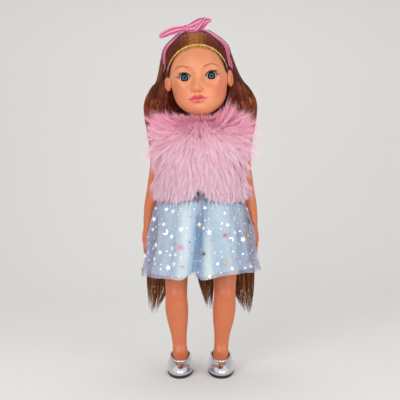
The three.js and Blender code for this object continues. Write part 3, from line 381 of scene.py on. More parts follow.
def paint(piece, colours):
    """Stores a linear colour for each point of a piece."""
    layer = piece.data.color_attributes.new("paint", "FLOAT_COLOR", "POINT")
    full = np.ones((len(piece.data.vertices), 4))
    full[:, :3] = colours
    layer.data.foreach_set("color", full.ravel())


def store(piece, **values):
    """Stores numbers for the points of a piece by name: one for each point, or one for all."""
    for name, value in values.items():
        layer = piece.data.attributes.new(name, "FLOAT", "POINT")
        layer.data.foreach_set("value", np.full(len(piece.data.vertices), value, float))


def strand_mesh(name, paths, widths, facing, material, tones):
    """Flat tapering strands, arched across. paths is strands by steps by three, widths is in steps, and
    facing is the way that each point's strand faces. Each strand has its own tone, and its run goes from 0
    at its root to 1."""
    strands, steps = paths.shape[:2]
    side = unit(np.cross(np.gradient(paths, axis=1), facing))
    half = widths[:, :, None] / 2
    points = np.stack([paths - side * half, paths + facing * half * 0.25, paths + side * half], axis=2)
    first = (np.arange(strands)[:, None] * steps + np.arange(steps - 1)) * 3
    corner = (first[:, :, None] + np.arange(2)).reshape(-1)
    faces = np.stack([corner, corner + 1, corner + 4, corner + 3], axis=1)
    piece = mesh_piece(name, points.reshape(-1, 3), faces.tolist(), material)
    run = np.tile(np.repeat(np.arange(steps) / (steps - 1), 3), strands)
    store(piece, run=run, tone=np.repeat(tones, steps * 3))
    return piece


# Each piece's body, and the CAD node that it replaces.
def dress(piece, body, node=None):
    """Attaches a piece to its body, and hides the CAD node that it replaces."""
    if node:
        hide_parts(node)
    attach(piece, body)


def hang_on_leg(piece):
    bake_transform(piece)


# The head's shape. Points are worked out in the head's own frame, whose origin is the neck's pivot.
def rolled(points, roll):
    x, y, z = np.moveaxis(np.asarray(points, float), -1, 0)
    cosine, sine = math.cos(roll), math.sin(roll)
    return np.stack([x * cosine - z * sine, y, x * sine + z * cosine], axis=-1)


def to_doll(points):
    """Points of the head's frame, leaned and set on the neck."""
    return rolled(points, HEAD_ROLL) + NECK_PIVOT


def to_head(points):
    """Points of the doll's frame, in the head's."""
    return rolled(points - NECK_PIVOT, -HEAD_ROLL)


def turn_to_doll(ways):
    return rolled(ways, HEAD_ROLL)


def head_width(level):
    return 39.2 + 4.3 * smooth(13, 40, np.abs(level + 5))


def head_middle(level):
    low = np.clip((-8 - level) / 49.5, 0, 1)
    return 1 - 20 * low**1.4


def features_aside(level):
    """The nose and mouth sit a little to the doll's right of the middle."""
    return 2.7 * smooth(-4, -25, level)


# How far each feature stands out, its place and half width across, and its level and half height.
FEATURES = [
    (3.7, 0, 3.6, -24.8, 3.2),      # tip of the nose
    (2.9, 5.4, 1.9, -27.2, 2.1),    # its wings
    (-1.8, 3.0, 1.2, -29.6, 1.0),   # nostrils
    (-1.1, 0, 9, -6, 11),           # hollow between the eyes
    (-0.7, 0, 1.5, -32.2, 2.4),     # groove over the lip
    (0.35, 2.4, 1.1, -32.2, 2.6),   # its edges
    (1.3, 21, 12, -29, 10),         # cheeks
    (2.2, 0, 12, -38, 8),           # swell of the mouth
    (2.0, 2.6, 4.2, -36.2, 1.7),    # upper lip
    (2.7, 0, 6.4, -40.9, 2.1),      # lower lip
    (-1.2, 0, 9.2, -38.2, 1.1),     # line between the lips
    (-0.7, 13.0, 1.8, -38.4, 1.9),  # corners of the mouth
    (-1.2, 0, 7.5, -45.6, 2.2),     # hollow under the lip
    (1.8, 0, 8.5, -51, 5.5),        # chin
    (0.9, 20, 12, 5.5, 4),          # brow bones
]


def face_relief(x, level):
    """How far the face stands forward of the plain skull."""
    side = np.abs(x + features_aside(level))
    nose = smooth(-9, -25, level) * (1 - smooth(-26.8, -30.6, level))
    total = 5.4 * nose * bump(side, 0, 2.6 + 1.5 * nose)
    for height, across, wide, at, tall in FEATURES:
        total = total + height * bump(side, across, wide) * bump(level, at, tall)
    return total


def skull_points(direction, grow):
    """The plain skull for directions from its centre, grown outwards, in the head's frame."""
    sx, sy, sz = np.moveaxis(direction, -1, 0)
    level = HEAD_HALF * sz
    depth = np.where(sy < 0, HEAD_FRONT, HEAD_BACK) + grow
    return vectors((head_width(level) + grow) * sx, head_middle(level) + depth * sy,
                   HEAD_CENTRE + level + grow * sz)


def head_points(direction):
    """The head with its face for directions from its centre, in the head's frame."""
    x, y, z = np.moveaxis(skull_points(direction, 0.0), -1, 0)
    level = z - HEAD_CENTRE
    ahead = direction[..., 1]
    front = smooth(0, -0.35, ahead)
    y = y - front * face_relief(x, level)
    away = np.hypot(np.abs(x) - EYE_X, level - EYE_LEVEL)
    lid = EYE_Y - np.sqrt((EYE_RADIUS + 2.6) ** 2 - np.minimum(away, 7.4) ** 2)
    y = y + (lid - y) * smooth(17.4, 7.2, away) * front
    # The lower face turns a little to the doll's right, so its sides lie to the left of its features.
    aside = 1.4 * smooth(8, -16, level) * smooth(-1.0, -0.2, ahead) * smooth(0.9, 0.3, ahead)
    return vectors(x + aside, y, z)


def head_directions(rings, count):
    """Directions in rings round the nose, closer together over the face."""
    share = np.linspace(0.004, 0.996, rings)[:, None]
    away = np.pi * (share - 0.09 * np.sin(2 * np.pi * share))
    turn = full_turn(count)
    return vectors(np.sin(away) * np.cos(turn), -np.cos(away), np.sin(away) * np.sin(turn))


def ear_rings(side):
    """An ear: a shallow dish with a rolled rim, standing back from the side of the head."""
    turn = full_turn(64)
    share = np.linspace(0, 1, 26)[:, None]
    reach = 1.05 * np.sin(np.pi * np.clip(share, 0.02, 0.98)) ** 0.8
    out = -np.cos(np.pi * share)
    outline = 1 - 0.2 * smooth(-0.2, -1, np.sin(turn)) + 0.06 * np.cos(turn - 0.6)
    back = 7.4 * reach * outline * np.cos(turn)
    rise = 12.2 * reach * outline * np.sin(turn)
    middle = np.hypot((back + 0.6) / 3.9, (rise - 1.5) / 6.6)
    dish = 3.9 * smooth(1.25, 0.5, middle) * (out > 0)
    ridge = 1.3 * bump(middle, 0.66, 0.12) * bump(rise, 4, 7) * (out > 0)
    thick = 3.9 * out - dish + ridge
    x = side * (39.4 + thick * 0.85 + 0.38 * (back + 7))
    return vectors(x + side * 0.02 * rise + 1.4, 2.2 + back, EYE_Z - 0.7 + rise)


def eye_height(up):
    """How far an eye's opening reaches above or below its centre."""
    return np.where(up > 0, 5.6, 4.9)


def almond():
    """The outline of an eye's opening, as across and up from the eye's centre."""
    turn = full_turn(72)
    up = np.sin(turn)
    return EYE_HALF * np.cos(turn), eye_height(up) * np.sign(up) * np.abs(up) ** 1.2


def prism(name, across, up, near, far, material):
    """A cutter of that outline along Y, in the head's frame."""
    rings = np.stack([vectors(across, y, up) for y in (near, far)])
    return skin_piece(name, to_doll(rings), material)


def ball(name, centre, radius):
    bpy.ops.mesh.primitive_uv_sphere_add(segments=64, ring_count=40, radius=radius * MM,
                                         location=to_doll(centre) * MM)
    bpy.ops.object.transform_apply(location=True)
    bpy.context.object.name = name
    return bpy.context.object


def drum(name, radius, low, high):
    bpy.ops.mesh.primitive_cylinder_add(vertices=64, radius=radius * MM, depth=(high - low) * MM,
                                        location=to_doll([0, 0, (low + high) / 2]) * MM,
                                        rotation=(0, -HEAD_ROLL, 0))
    bpy.ops.object.transform_apply(location=True, rotation=True)
    bpy.context.object.name = name
    return bpy.context.object


# Soft vinyl, rotation moulded: an even, faintly waxy skin with a low sheen, blushed and painted by spray.
def vinyl_skin():
    material, tree, shader = start_material(
        "spray_painted_vinyl", "#e89b72", Roughness=0.42, IOR=1.5, Subsurface_Weight=0.12,
        Subsurface_Radius=(0.004, 0.0015, 0.0008), Subsurface_Scale=1.0)
    place = object_place(tree)
    # The mould's fine orange-peel, about 0.7 mm across, and a broad unevenness of the colour.
    shade = remap(tree, noise(tree, place, 60.0), 0.3, 0.7, 0.965, 1.03)
    connect(tree, shader, mix(tree, 1.0, stored(tree, "paint", "Color"), shade, "MULTIPLY"))
    connect(tree, shader, remap(tree, stored(tree, "gloss"), 0.0, 1.0, 0.42, 0.12), "Roughness")
    relief(tree, shader, noise(tree, place, 1400.0), 0.06, 0.0002)
    return material


def mix_in(colours, hex_text, amount):
    """Lays a colour over the colours so far, by an amount for each point."""
    return colours + (np.array(hex_colour(hex_text)[:3]) - colours) * np.clip(amount, 0, 1)[:, None]


def sprayed(base, layers):
    """The colours of a base under layers, each a colour and its amount for each point."""
    colours = np.array(hex_colour(base)[:3])
    for hex_text, amount in layers:
        colours = mix_in(colours, hex_text, amount)
    return colours


def face_blush_and_painted_light(x, y, level):
    """The broad tints of the face, the nose and the jaw, with painted shade over the forehead, beside and
    under the nose, in the creases of its wings and in its nostrils, and a painted highlight on its tip.
    """
    side = np.abs(x + features_aside(level))
    front = smooth(-6, -18, y)
    cheek = bump(side, 30, 11) * bump(level, -28, 13)
    jaw = smooth(28, 38, side) * smooth(10, -20, level) * smooth(-48, -30, level)
    return [
        # Painted shade over the forehead, which is made darker.
        ("#d28259", 0.8 * smooth(-4, 20, level) * front),
        ("#db5f40", 0.56 * cheek * smooth(6, -12, y)),
        # Painted shade along the sides of the nose, a painted highlight on its tip and a painted shadow under
        # it.
        ("#cf7048", 0.5 * bump(side, 6.4, 2.3) * bump(level, -14, 8) * front),
        ("#f2b489", 0.7 * bump(side, 0, 3.2) * bump(level, -23.5, 3.4) * front),
        ("#bf6842", 0.35 * bump(side, 0, 6.5) * bump(level, -30.4, 0.9) * front),
        ("#d8643f", 0.35 * jaw),
        ("#df7a52", 0.30 * bump(side, 5, 4) * bump(level, -28, 4) * front),
        # Painted shade in the creases of the nose's wings and in the nostrils.
        ("#b9573a", 0.45 * bump(side, 7.9, 0.9) * bump(level, -26.8, 2.4) * front),
        ("#a84c32", 0.55 * bump(side, 3.2, 1.3) * bump(level, -29.8, 0.8) * front),
        ("#dd7a55", 0.30 * bump(x, 0, 14) * smooth(-49, -56, level)),
        ("#d98a64", 0.2 * bump(side, 18, 10) * bump(level, -1.0, 4) * front),
    ]


def face_lips(x, y, level):
    """The lips, and where they shine. The upper has two peaks, and the lower is fuller and shorter."""
    shifted = x + features_aside(level)
    side = np.abs(shifted)
    front = smooth(-6, -18, y)
    arch = 0.72 + 0.34 * bump(side, 4.3, 2.6)
    seam_at = -38.4 + 0.45 * bump(side, 4.4, 2.4) - 0.35 * bump(shifted, 0, 1.6)
    top = seam_at + 4.1 * np.clip(1 - (side / 12.8) ** 2, 0, 1) * arch
    bottom = -38.4 - 5.2 * np.clip(1 - (side / 11.4) ** 2.2, 0, 1) ** 0.9
    lips = smooth(0.7, -0.3, level - top) * smooth(0.7, -0.3, bottom - level) * (side < 12.8) * front
    lower = smooth(0.2, -0.7, level - seam_at)
    seam = bump(level, seam_at, 0.55) * smooth(12.6, 9.5, side) * front
    layers = [
        ("#cf4a4c", 0.94 * lips),
        ("#db6a70", 0.85 * lips * lower),
        # A painted highlight on the lower lip.
        ("#f6b6b4", 0.6 * lips * bump(level, -41.4, 0.8) * bump(side, 3.6, 1.5)),
        ("#94303a", (0.55 + 0.4 * bump(side, 4.2, 2.4)) * seam),
        ("#a65c38", 0.55 * bump(level, -38.1, 0.5) * bump(side, 13.2, 1.5) * front),
    ]
    return layers, lips * lower


def face_brows(x, y, level):
    """Fine arched brows."""
    side = np.abs(x + 1.5)
    arch, = through([[8, 1.6], [10.5, 3.0], [15, 5.2], [21, 6.2], [27, 4.7], [32, 1.0]], side)
    brow = bump(level, arch, 0.9 - 0.3 * smooth(22, 32, side))
    brow = brow * smooth(9.2, 11.0, side) * smooth(34, 27, side)
    return [("#96451f", 0.92 * brow * smooth(-6, -18, y))]


def face_liner(x, y, level):
    """Liner on the rims of the eye openings, heavier above and at the outer corners."""
    front = smooth(-6, -18, y)
    across = np.abs(x) - EYE_X
    up = level - EYE_LEVEL
    edge = np.hypot(across / EYE_HALF, up / eye_height(up))
    above = smooth(-2.0, 2.0, up)
    liner = smooth(1.16 + 0.14 * above, 1.02 + 0.08 * above, edge) * front
    corner = bump(across, 9.3, 2.2) * bump(up - 0.25 * (across - 7), 0.9, 1.3) * front
    return [("#33160d", liner * (0.22 + 0.76 * above)), ("#3a1c12", 0.85 * corner)]


def ear_painted_shade(x, y, level):
    """Painted shade in the hollow of each ear, which makes it a little darker."""
    hollow = smooth(40.5, 42.5, np.abs(x - 1.4)) * bump(y, 3.4, 4.0) * bump(level, EYE_LEVEL + 0.8, 6.5)
    return [("#b85f3d", 0.55 * hollow)]


def paint_face(head):
    """Blush, lips, brows and the liner round the eyes, sprayed through masks, with painted shade over the
    forehead, round the nose and in the ears, and painted highlights on the nose and the lower lip.
    """
    x, y, z = to_head(points_of(head)).T
    at = (x, y, z - HEAD_CENTRE)
    lips, shine = face_lips(*at)
    layers = face_blush_and_painted_light(*at) + lips + face_brows(*at) + face_liner(*at) + ear_painted_shade(*at)
    paint(head, sprayed("#e29368", layers))
    store(head, gloss=0.8 * shine)


def make_head(skin):
    head = skin_piece("face_and_skull", to_doll(head_points(head_directions(240, 300))), skin)
    for side in (-1, 1):
        with_tool(head, skin_piece("ear", to_doll(ear_rings(side)), skin), "UNION")
    hollow = skin_piece("hollow", to_doll(skull_points(head_directions(60, 80), -3.0)), skin)
    with_tool(hollow, drum("floor_of_hollow", 80, -60, 10))
    for side in (-1, 1):
        with_tool(hollow, ball("eye_wall", (side * EYE_X, EYE_Y - 4, EYE_Z), 19))
    with_tool(head, hollow)
    with_tool(head, drum("neck_recess", 17.8, -30, 7))
    with_tool(head, drum("neck_hole", 12, -30, 30))
    across, up = almond()
    for side in (-1, 1):
        room = ball("eye_room", (side * EYE_X, EYE_Y, EYE_Z), 10.2)
        with_tool(room, prism("opening", side * EYE_X + across, EYE_Z + up, -60.0, EYE_Y, skin), "UNION")
        with_tool(head, room)
    head.data.shade_smooth()
    select_only(head)
    bpy.ops.object.shade_smooth_by_angle(angle=math.radians(40))
    paint_face(head)
    dress(head, "head", "head_shell")


# Acrylic eye: hard, clear and polished, over a printed grey-blue iris and white.
def acrylic_eye(side, sign):
    material, tree, shader = start_material(f"acrylic_eye_{side}", "#f4f3f1", Roughness=0.04, IOR=1.49,
                                            Specular_IOR_Level=0.09)
    centre = to_doll([sign * EYE_X, EYE_Y, EYE_Z]) * MM
    moved = add(tree, "VectorMath", {0: object_place(tree), 1: tuple(centre)}, operation="SUBTRACT")
    x, _, z = add(tree, "SeparateXYZ", {0: moved.outputs[0]}).outputs
    flat = add(tree, "CombineXYZ", {"X": x, "Z": z})
    reach = add(tree, "VectorMath", {0: flat.outputs[0]}, operation="LENGTH").outputs["Value"]
    # The iris is about 10.6 mm across and its pupil 3.9 mm. The printed rays run out from the pupil.
    share = remap(tree, reach, 0.0, 0.0061, 0.0, 1.0)
    angle = calculate(tree, "ARCTAN2", x, z)
    rays = noise(tree, add(tree, "CombineXYZ", {"X": angle, "Y": reach}).outputs[0], 7.0, 3.0)
    uneven = calculate(tree, "ADD", share, remap(tree, rays, 0.3, 0.7, -0.05, 0.05))
    inner = colour_ramp(tree, uneven, [
        (0.0, "#000001"), (0.29, "#020203"), (0.35, "#6d8897"), (0.42, "#46636f"), (0.5, "#213c4c"),
        (0.64, "#0c1e2b"), (0.84, "#02050a")])
    edge = remap(tree, share, 0.85, 0.9, 0.0, 1.0)
    connect(tree, shader, mix(tree, edge, inner, hex_colour("#fdfcfa")))
    return material


def eye_point(sign, radius, lift, aside):
    """A point at a radius from the eye's centre, lifted about the pin and turned aside, in degrees."""
    lift = np.radians(lift)
    aside = np.radians(aside)
    across = radius * np.cos(aside)
    return to_doll(vectors(sign * EYE_X + radius * np.sin(aside), EYE_Y - across * np.cos(lift),
                           EYE_Z + across * np.sin(lift)))


def make_eyeball(side, sign):
    away = np.linspace(0.01, np.pi - 0.01, 60)[:, None]
    turn = full_turn(72)
    reach = EYE_RADIUS + 0.5 * smooth(1, 0, EYE_RADIUS * np.sin(away) / 5.2) * (away < 1.5)
    rings = vectors(sign * EYE_X + reach * np.sin(away) * np.cos(turn), EYE_Y - reach * np.cos(away),
                    EYE_Z + reach * np.sin(away) * np.sin(turn))
    eyeball = skin_piece(f"{side}_acrylic_eye", to_doll(rings), acrylic_eye(side, sign))
    dress(eyeball, f"{side}_eye", f"{side}_eyeball")


def make_lid(side, sign, skin):
    outer = eye_point(sign, LID_RADIUS, np.linspace(LID_EDGE, 150, 40)[:, None], np.linspace(-66, 66, 40))
    lid = cloth_shell(f"{side}_sleep_lid", outer, 0.5, skin)
    up = to_head(points_of(lid))[:, 2] - EYE_Z
    edge = 9.8 * math.sin(math.radians(LID_EDGE))
    paint(lid, sprayed("#dd8f69", [("#3a2018", smooth(edge + 0.7, edge, up))]))
    store(lid, gloss=0.1)
    dress(lid, f"{side}_eye", f"{side}_eyelid")


def make_lashes(side, sign, fibre):
    """Two rows of lashes, longer and swept outwards at the outer corner."""
    fans = np.concatenate([np.linspace(-32, 44, 84), np.linspace(-29, 42, 66)])
    row = np.concatenate([np.zeros(84), np.ones(66)])
    fans = fans + chance.uniform(-0.7, 0.7, len(fans))
    length = (3.2 + 2.4 * smooth(-20, 34, fans)) * chance.uniform(0.85, 1.1, len(fans)) * (1 - 0.25 * row)
    length = (length * (1 - 0.45 * smooth(-8, -30, fans)))[:, None]
    run = np.linspace(0, 1, 6)[None, :]
    root = eye_point(sign, 9.55, LID_EDGE - 1.0 - 0.8 * row, sign * fans)
    splay = np.sin(np.radians(fans))[:, None] * 0.85
    ahead = vectors(sign * splay * length * run, -length * run * (0.95 - 0.25 * run),
                    length * (0.12 * run + 0.42 * run**2))
    lashes = strand_mesh(f"{side}_lash_fringe", root[:, None] + turn_to_doll(ahead), 0.55 * (1 - 0.7 * run),
                         turn_to_doll([0.0, -0.5, 0.86]), fibre, fans * 0)
    dress(lashes, f"{side}_eye", f"{side}_eyelashes")


# Hair. How thick it lies on the head in a direction from the head's centre.
def hair_depth(direction, fullness=9.0):
    sx, sy, sz = np.moveaxis(direction, -1, 0)
    depth = 3.2 + np.maximum(4 * smooth(0.55, 0.95, np.abs(sx)),
                             6.8 * smooth(-0.1, 0.6, sy) * smooth(1, 0.3, sz))
    level = HEAD_HALF * sz
    edge = np.hypot(head_width(level) * sx / HAIRLINE_WIDE, (level - HAIRLINE_LEVEL) / HAIRLINE_RISE)
    front = smooth(0.1, -0.1, sy)
    # Behind the ears the hair bells out before it falls.
    bell = fullness * smooth(0.04, 0.62, sy) * smooth(0.35, 0.8, np.abs(sx)) * smooth(0.92, 0.6, sz)
    # It thins out behind the ears and towards the nape.
    thin = 1 - 0.7 * smooth(0.42, 0.14, sy) * smooth(0.05, -0.12, sz)
    thin = thin * (1 - 0.8 * smooth(-0.48, -0.7, sz))
    return (depth * (1 - front * 0.7 * smooth(1.34, 1.0, edge)) + bell) * thin


def outside_cap(points, rise):
    """Moves points that lie inside the hair on the head out to its surface, and a rise above it."""
    x, y, z = np.moveaxis(to_head(points), -1, 0)
    z = z - HEAD_CENTRE
    grow = 10.0
    for _ in range(3):
        level = z * HEAD_HALF / (HEAD_HALF + grow)
        way = vectors(x / (head_width(level) + grow), (y - head_middle(level)) / (HEAD_BACK + grow),
                      level / HEAD_HALF)
        reach = np.linalg.norm(way, axis=-1)
        way = way / reach[..., None]
        grow = hair_depth(way) + rise
    hold = smooth(-54, -34, level)
    share = np.clip((hold - reach) / np.maximum(1 - reach, 1e-3), 0, 1) * (reach < hold)
    return points + (to_doll(skull_points(way, grow)) - points) * share[..., None]


def lateral(sx, turn):
    """The direction at a place across the head, turned from the face over the crown to the nape."""
    flat = np.sqrt(1 - sx**2)
    return vectors(sx, -flat * np.cos(turn), flat * np.sin(turn))


def hairline_at(angle, inset=0.0):
    """A hairline direction's part across and part up, at an angle from the middle of the forehead."""
    level = HAIRLINE_LEVEL + (HAIRLINE_RISE - inset) * np.cos(angle)
    return (HAIRLINE_WIDE - inset) * np.sin(angle) / head_width(level), level / HEAD_HALF


def hairline_turn(sx):
    """How far over the forehead the hairline lies at a place across the head."""
    across, up = hairline_at(np.radians(np.linspace(0, 86, 60)))
    turn = np.arctan2(up, np.sqrt(np.maximum(1 - across**2 - up**2, 1e-4)))
    return np.interp(np.abs(sx), across, turn)


# Rooted saran hair: fine, straight, evenly dyed fibres with a clean sheen along their length.
def saran_hair(name, stops, scale, roughness=0.44):
    material, tree, shader = start_material(name, stops[1][1], Roughness=roughness, IOR=1.52,
                                            Specular_IOR_Level=0.15)
    place = object_place(tree)
    streak = noise(tree, add(tree, "Mapping", {"Vector": place, "Scale": scale}).outputs[0], 1.0, 3.0)
    mixed = calculate(tree, "MULTIPLY_ADD", streak, 0.55, stored(tree, "tone"))
    dyed = colour_ramp(tree, remap(tree, mixed, 0.15, 1.25, 0.0, 1.0), stops)
    # Towards the ends the lighter strands are caramel. Each strand is painted darker at its root: painted
    # shade where the strands above lie over it.
    height = add(tree, "SeparateXYZ", {0: place}).outputs["Z"]
    low = remap(tree, height, 0.20, 0.09, 0.0, 0.62, interpolation_type="SMOOTHSTEP")
    ends = calculate(tree, "MULTIPLY", low, remap(tree, mixed, 0.42, 0.85, 0.0, 1.0))
    caramel = mix(tree, ends, dyed, hex_colour("#c08a4c"))
    root_shade = remap(tree, stored(tree, "run"), 0.0, 0.12, 0.62, 1.0)
    root_shade_grey = add(tree, "CombineColor", {0: root_shade, 1: root_shade, 2: root_shade}).outputs[0]
    connect(tree, shader, mix(tree, 1.0, caramel, root_shade_grey, "MULTIPLY"))
    relief(tree, shader, streak, 0.6, 0.0006)
    return material


def comb_strands(name, hair, count, spread, start, end, lift, tones):
    """Strands combed back over the cap. start is how far behind the hairline they leave, in radians, and
    end is how far over the crown they go, in degrees."""
    sx = chance.uniform(-spread, spread, count)
    first = hairline_turn(sx) + chance.uniform(*start, count)
    last = np.radians(end) + chance.uniform(-0.12, 0.12, count)
    run = np.linspace(0, 1, 20)[None, :]
    turn = first[:, None] + (last - first)[:, None] * run
    drift = chance.normal(0, 0.012, count)[:, None] * np.sin(run * 2.2) + sx[:, None] * (1 - 0.05 * run)
    way = lateral(np.clip(drift, -0.985, 0.985), turn)
    rise = lift[0] + (lift[1] - lift[0]) * chance.random((count, 1)) * np.sin(np.pi * np.clip(run, 0.02, 1))
    points = to_doll(skull_points(way, hair_depth(way) + rise))
    widths = 1.1 * (1 - 0.5 * np.abs(run - 0.4)) * smooth(0, 0.05, run) + 0.1
    strands = strand_mesh(name, points, widths, turn_to_doll(way), hair, tones(sx))
    dress(strands, "head")


def hairline_wisps(gold):
    """Short caramel strands between the braid and the forehead."""
    count = 420
    sx = chance.uniform(-0.98, 0.98, count)
    run = np.linspace(0, 1, 6)[None, :]
    first = hairline_turn(sx)[:, None] - 0.05 + chance.uniform(-0.012, 0.012, (count, 1))
    turn = first + (0.11 + 0.08 * chance.random((count, 1))) * run
    way = lateral(sx[:, None] + 0.012 * np.sin(3 * run), turn)
    points = to_doll(skull_points(way, 0.15 + 1.3 * np.sin(1.6 * run)))
    tones = chance.beta(1.5, 4, count) * 0.6
    wisps = strand_mesh("hairline_wisps", points, 0.75 * (1 - 0.4 * run), turn_to_doll(way), gold, tones)
    dress(wisps, "head")


def make_hair_cap(hair, gold):
    way = head_directions(90, 110)
    cap = skin_piece("rooted_hair", to_doll(skull_points(way, hair_depth(way))), hair)
    with_tool(cap, skin_piece("skull", to_doll(skull_points(head_directions(60, 80), 0.5)), hair))
    angle = np.radians(np.linspace(0, 180, 41))
    across = np.concatenate([[HAIRLINE_WIDE], HAIRLINE_WIDE * np.cos(angle), [-HAIRLINE_WIDE]])
    up = HEAD_CENTRE + HAIRLINE_LEVEL + np.concatenate([[-FAR], HAIRLINE_RISE * np.sin(angle), [-FAR]])
    with_tool(cap, prism("face_window", across, up, -FAR, -3.0, hair))
    # It ends under the temples, then lower behind the ears, and lowest at the nape.
    across = np.array([-FAR, FAR, FAR, -FAR])
    for level, back in ((-2.0, 9.0), (-15.0, 24.0), (-38.0, FAR)):
        up = np.array([BELOW, BELOW, HEAD_CENTRE + level, HEAD_CENTRE + level])
        with_tool(cap, prism("below", across, up, -FAR, back, hair))
    x, y, _ = to_head(points_of(cap)).T
    store(cap, run=0.3, tone=0.12 + 0.2 * bump(x, 0, 22) * smooth(20, -20, y))
    dress(cap, "head", "hair_cap")
    comb_strands("combed_hair", hair, 1500, 0.93, (-0.01, 0.05), 152, (0.05, 0.75),
                 lambda sx: chance.beta(2, 3, len(sx)) * 0.6 + 0.55 * bump(sx, 0.0, 0.3))
    comb_strands("crown_hair", hair, 700, 0.9, (0.4, 1.1), 156, (0.5, 1.1),
                 lambda sx: chance.beta(2, 2, len(sx)) * 0.7)
    hairline_wisps(gold)


# The braid: three plies of golden hair laid over each other along the hairline.
def make_braid(gold):
    degrees = np.linspace(-77, 77, 320)
    across, up = hairline_at(np.radians(degrees), -0.6)
    way = unit(vectors(across, -np.sqrt(np.maximum(1 - across**2 - up**2, 4e-4)), up))
    spine = skull_points(way, 1.9)
    side = unit(np.cross(unit(np.gradient(spine, axis=0)), way))
    reach = np.cumsum(np.linalg.norm(np.diff(spine, axis=0, prepend=spine[:1]), axis=1))
    ends = smooth(0, 0.04, np.abs(degrees + 77) / 154) * smooth(0, 0.04, np.abs(77 - degrees) / 154)
    thin = (0.54 * ends + 0.1)[:, None, None]
    turn = full_turn(9)[None, :, None]
    plies = []
    for ply in range(3):
        phase = (2 * np.pi * (reach / 7.2 + ply / 3) + 0.5 * np.sin(reach / 9))[:, None]
        middle = spine + side * 0.66 * np.sin(phase) + way * 0.36 * np.cos(2 * phase)
        rings = (middle[:, None] + side[:, None] * thin * np.cos(turn)
                 + way[:, None] * 0.8 * thin * np.sin(turn))
        plies.append(skin_piece("braid_ply", to_doll(rings), gold))
    braid = join_parts("hairline_plait", plies)
    across = to_head(points_of(braid))[:, 0]
    tones = 0.58 + 0.25 * np.sin(across * 2.4) + 0.22 * np.sin(across * 0.9 + 1.0) * np.sin(across * 0.37)
    store(braid, tone=tones, run=0.5)
    dress(braid, "head", "hairline_braid")


# Polyester satin: smooth and glossy. The bright broad sheen along the ridges of its folds and the shade in
# their creases are painted into its colour.
def folded_satin(name, deep, middle, ridge_highlight, roughness=0.3):
    material, tree, shader = start_material(name, middle, Roughness=roughness, IOR=1.5, Sheen_Weight=0.25,
                                            Sheen_Roughness=0.3)
    place = object_place(tree)
    # Its colour follows the stored fold value, from painted shade in the creases through the middle colour to
    # a painted highlight on the ridges.
    mixed = calculate(tree, "MULTIPLY_ADD", noise(tree, place, 90.0), 0.4, stored(tree, "fold"))
    shade = remap(tree, mixed, 0.2, 1.2, 0.0, 1.0)
    connect(tree, shader, colour_ramp(tree, shade, [(0.0, deep), (0.5, middle), (1.0, ridge_highlight)]))
    # A thread is about 0.1 mm, too fine to show, so the weave is drawn at 0.5 mm.
    relief(tree, shader, noise(tree, place, 2000.0, 1.0), 0.12, 0.0002)
    return material


# The headband's middle: degrees from the top to the doll's left, and the direction from the head's centre.
BAND_ROWS = [[-12, -0.2, -0.36, 0.92], [0, 0, -0.37, 0.93], [12, 0.2, -0.36, 0.92], [45, 0.66, -0.33, 0.67],
             [72, 0.93, -0.18, 0.33], [90, 0.95, 0.08, 0.17], [105, 0.93, 0.33, 0], [125, 0.8, 0.52, -0.34],
             [160, 0.3, 0.8, -0.52], [180, 0, 0.84, -0.55], [200, -0.3, 0.8, -0.52]]


def band_direction(turn):
    """The direction of the headband's middle: over the top, behind the ears and under the back hair."""
    turned = np.degrees((turn + np.pi) % (2 * np.pi) - np.pi)
    x, y, z = through(BAND_ROWS, np.abs(turned))
    return unit(vectors(x * np.where(turned < 0, -1, 1), y, z))


def make_headband(satin):
    turn = full_turn(360)
    degrees = np.degrees(turn)
    way = band_direction(turn)
    side = np.cross(way, unit(band_direction(turn + 0.02) - band_direction(turn - 0.02)))
    section = full_turn(28)
    # The band is drawn narrower at the knot and has a few lengthwise tucks that wander.
    narrow = 1 - 0.3 * bump(degrees, 352, 9) - 0.3 * bump(degrees, -8, 9)
    wider = 1 + 0.45 * bump(degrees, 62, 36) - 0.05 * bump(degrees, 305, 34)
    across = 5.2 * np.cos(section) * (narrow * wider)[:, None]
    tuck = np.sin(1.5 * across + 1.3 * np.sin(3 * turn)[:, None] + 0.6 * np.sin(11 * turn)[:, None])
    upper = np.clip(np.sin(section), 0, 1)
    rise = 0.5 + 1.0 * np.sin(section) * (1 + 0.25 * upper) + 0.42 * tuck * upper
    direction = unit(way[:, None] + side[:, None] * (across / HEAD_HALF)[:, :, None])
    rings = to_doll(skull_points(direction, hair_depth(direction, 0.0) + 0.8 + rise))
    band = hoop_piece("satin_headband", rings, satin)
    # The fold value paints the band: painted highlight and shade along its tucks, a lighter upper side as
    # painted light, and painted shade towards the ears.
    beside = smooth(38, 95, np.minimum(degrees, 360 - degrees))[:, None]
    store(band, fold=(0.5 + 0.45 * tuck * upper + 0.25 * (upper - 0.6) - 0.4 * beside).ravel())
    dress(band, "head", "headband")


